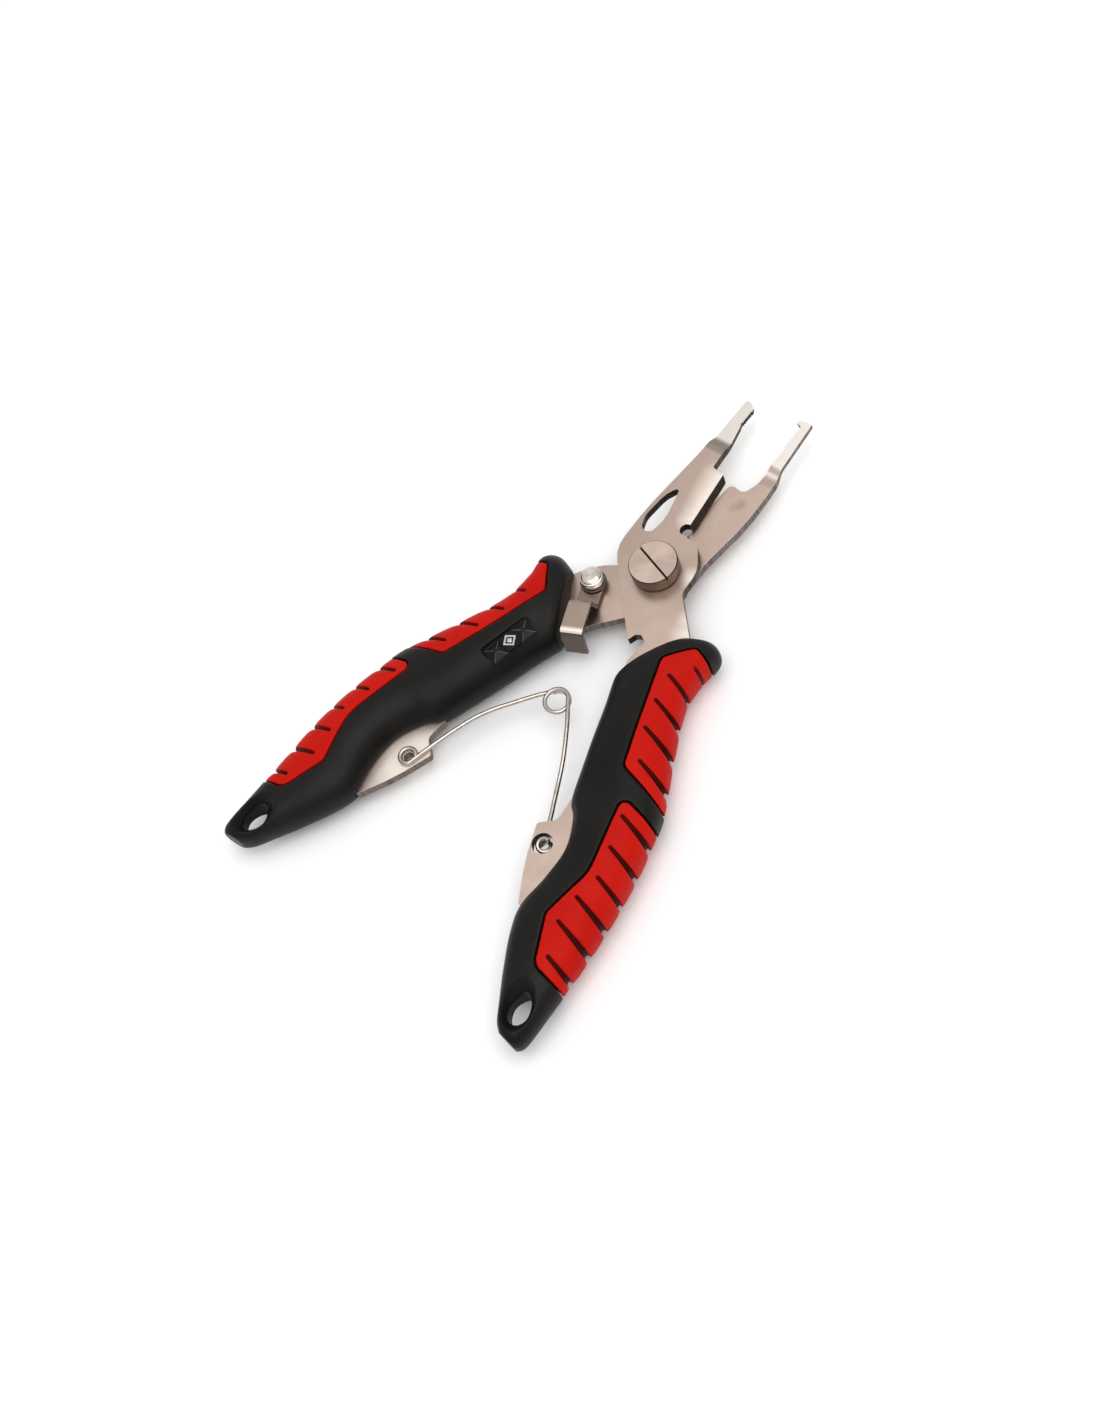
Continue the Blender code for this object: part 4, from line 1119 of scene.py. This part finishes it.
def shells(black):
    """Both moulded handles, with pockets for the grips, slots for the blades and the badge's recess."""
    blank = handle_form("handle_blank")
    for end in ("front", "rear"):
        core = handle_form("pocket_core", GRIP_SIDE + POCKET_ROOM, GRIP_SKIN + POCKET_ROOM)
        pocket = combined("DIFFERENCE", grip_prism("pocket", end, SEAM), core)
        blank = combined("DIFFERENCE", blank, pocket)
    for cutter in lanyard_cutters():
        blank = combined("DIFFERENCE", blank, cutter)
    for side, body, node in (("right", "front_half", "front_blade"), ("left", "rear_half", "rear_blade")):
        name = side + "_handle"
        piece = copied(blank, name) if side == "right" else flipped(blank, name)
        piece = combined("DIFFERENCE", piece, tang_slot(node))
        if side == "left":
            long, wide = (size + 2 * RECESS_ROOM for size in (BADGE_LONG, BADGE_WIDE))
            recess = badge_box("recess", long, wide, BADGE_FLOOR, BADGE_TOP + 4.0, 0.8)
            piece = combined("DIFFERENCE", piece, recess)
        piece = moulded(piece, SHELL_VOXEL, 4)
        finished(piece, body, side + "_handle_shell", black)
    bpy.data.objects.remove(blank)


# ---------------------------------------------------------------- badge


def badge_set(piece):
    """Moves a piece made round the origin to the badge's place and angle."""
    turn = Matrix.Rotation(math.radians(BADGE_ANGLE), 4, "Z")
    piece.data.transform(Matrix.Translation((mm(BADGE[0]), mm(BADGE[1]), 0.0)) @ turn)
    return piece


def badge_box(name, long, wide, low, high, radius):
    """A round-cornered box in the badge's place."""
    return badge_set(slab(name, fillet(rectangle(long, wide, radius), 15.0), low, high))


def pyramid(name, long, wide, low, high, x):
    """A low four-sided pyramid on the badge, its middle at x along it."""
    base = [(x + corner[0], corner[1], low) for corner in rectangle(long, wide)]
    tip = [(x + corner[0], corner[1], high) for corner in rectangle(0.06, 0.06)]
    return badge_set(lofted(name, [base, tip]))


def diamond(name, reach, low, high):
    return badge_set(slab(name, [(-reach, 0.0), (0.0, -reach), (reach, 0.0), (0.0, reach)], low, high))


def badge(gloss, edge, silver):
    """The gloss plate with a four-sided pyramid at each end, greyer tubes on the pyramids' ridges as painted
    highlights, and a plain diamond.
    """
    bottom, top = heights("badge_plate")
    rim = bottom + 0.1
    plate = badge_box("badge_plate_face", BADGE_LONG, BADGE_WIDE, bottom, rim, 0.6)
    for x in (-FACET_X, FACET_X):
        facet = pyramid("facet", FACET_LONG, FACET_WIDE, rim - 0.05, top, x)
        plate = combined("UNION", plate, facet)
    plate = combined("UNION", plate, badge_box("badge_field", 3.5, FACET_WIDE, rim - 0.05, top - 0.1, 0.25))
    plate = bevelled(plate, 0.03, 1, 12.0)
    finished(plate, "rear_half", "badge_plate", gloss)
    # Greyer tubes along the ridges are painted highlights
    run = FACET_LONG / 2 - 0.1
    rise = FACET_WIDE / 2 - 0.1
    number = 0
    for x in (-FACET_X, FACET_X):
        for side in (-1.0, 1.0):
            ends = [(x - run, -rise * side, rim), (x, 0.0, top - 0.1), (x + run, rise * side, rim)]
            ridge = badge_set(tube("badge_ridge_%d" % number, ends, RIDGE_R))
            finished(ridge, "rear_half", "badge_plate", edge)
            number += 1
    low = top - 0.3
    mark_top = heights("badge_diamond")[1]
    mark = diamond("badge_mark", 1.8, low, mark_top)
    mark = combined("DIFFERENCE", mark, diamond("mark_hole", 1.2, low - 1.0, mark_top + 1.0))
    mark = combined("UNION", mark, diamond("mark_heart", 0.75, low, mark_top))
    mark = bevelled(mark, 0.05, 2, 35.0)
    finished(mark, "rear_half", "badge_diamond", silver)


# ---------------------------------------------------------------- studio


def direction(azimuth, elevation):
    """Unit vector from the pliers towards a viewer or a light; azimuth 0 is towards the handles' end."""
    turn = math.radians(azimuth)
    rise = math.radians(elevation)
    return Vector((math.sin(turn) * math.cos(rise), -math.cos(turn) * math.cos(rise), math.sin(rise)))


def camera():
    data = bpy.data.cameras.new("camera")
    data.lens = LENS
    data.sensor_width = 36.0
    data.clip_start = 0.01
    data.clip_end = 20.0
    made = bpy.data.objects.new("camera", data)
    bpy.context.scene.collection.objects.link(made)
    back = direction(AZIMUTH, ELEVATION)
    level = back.to_track_quat("Z", "Y").to_matrix().to_4x4()
    roll = Matrix.Rotation(math.radians(-ROLL), 4, "Z")
    made.matrix_world = Matrix.Translation(AIM + back * DISTANCE) @ level @ roll
    bpy.context.scene.camera = made


def softbox(name, azimuth, elevation, distance, size, radiance):
    """A square light of an even brightness, facing the pliers; distance and size are in metres."""
    data = bpy.data.lights.new(name, "AREA")
    data.shape = "SQUARE"
    data.size = size
    data.energy = radiance * size * size * math.pi
    made = bpy.data.objects.new(name, data)
    back = direction(azimuth, elevation)
    made.location = AIM + back * distance
    made.rotation_mode = "QUATERNION"
    made.rotation_quaternion = back.to_track_quat("Z", "Y")
    bpy.context.scene.collection.objects.link(made)


def studio():
    """An even pale room with a large light overhead, a faint one behind, and a pale floor."""
    world = bpy.data.worlds.new("studio")
    world.use_nodes = True
    background = world.node_tree.nodes["Background"]
    background.inputs["Color"].default_value = (1.0, 1.0, 1.0, 1.0)
    background.inputs["Strength"].default_value = 0.7
    bpy.context.scene.world = world
    bpy.context.scene.view_settings.view_transform = "Standard"
    softbox("back_softbox", AZIMUTH + 180.0, ELEVATION, 0.9, 1.0, 0.15)
    softbox("top_softbox", 90.0, 76.0, 1.2, 1.2, 2.1)
    work = bmesh.new()
    bmesh.ops.create_grid(work, x_segments=1, y_segments=1, size=3000.0)
    floor = placed("floor", work)
    floor.location.z = mm(-0.2)
    pale = Shader("pale_floor", (0.93, 0.93, 0.93), 0.9, 0.0, 0.1)
    pale.color(pale.mixed(pale.noise(8.0), (0.93, 0.93, 0.93), (0.95, 0.95, 0.95)))
    floor.data.materials.append(pale.material)


def main():
    camera()
    studio()
    steel = satin_steel("satin_steel")
    # Painted highlights along the front cutter and shank
    painted_highlights = CUTTER_PAINTED_HIGHLIGHT + SHANK_PAINTED_HIGHLIGHT
    front_steel = satin_steel("front_steel", 1.0, [], painted_highlights, (0.86, 0.80, 0.74), FRONT_BANDS)
    rear_steel = satin_steel("rear_steel", 1.0, SMUDGES, TAB_PAINTED_HIGHLIGHT, (0.95, 0.89, 0.83), REAR_BANDS)
    # Painted highlight for the eased edges of the blades
    rim = satin_steel("painted_highlight_rim", 1.4)
    face = turned_steel("faced_steel", (0.72, 0.56, 0.47), 0.3, 0.0, 0.0)
    # Painted shade: a darker copy of the faced steel for turned sides, walls, the washer and the collar
    side = turned_steel("shaded_turned_steel", (0.15, 0.118, 0.095), 0.34, 0.0, 0.0)
    polished = turned_steel("polished_head", (0.85, 0.76, 0.68), 0.16, LATCH_X, LATCH_Y)
    silver = turned_steel("silver_mark", (0.8, 0.8, 0.8), 0.22, 0.0, 0.0)
    # Blade walls in painted shade, darkest on the front blade
    blade("front_blade", "front_half", front_steel, cut_edge("painted_shade_cut_edge", (0.075, 0.06, 0.05)), rim)
    blade("rear_blade", "rear_half", rear_steel, cut_edge("pale_painted_shade_cut_edge", (0.21, 0.175, 0.158)), rim)
    pivot_screw(face, side, cut_edge("painted_shade_line", (0.075, 0.058, 0.045)))
    pivot_nut(face, side)
    sheet = satin_steel("lever_steel", 0.74, [], LEVER_PAINTED_HIGHLIGHT)
    # Painted shadow on the lever's low flat part
    lever(sheet, satin_steel("lever_painted_shadow", 0.5), side)
    latch_screw(polished, side)
    latch_nut(steel, side)
    spring(drawn_wire("drawn_wire"))
    shells(black_plastic("black_plastic"))
    grips(red_rubber("red_rubber"))
    badge(gloss_black("gloss_black", 0.006), gloss_black("ridge_painted_highlight", 0.07), silver)


main()
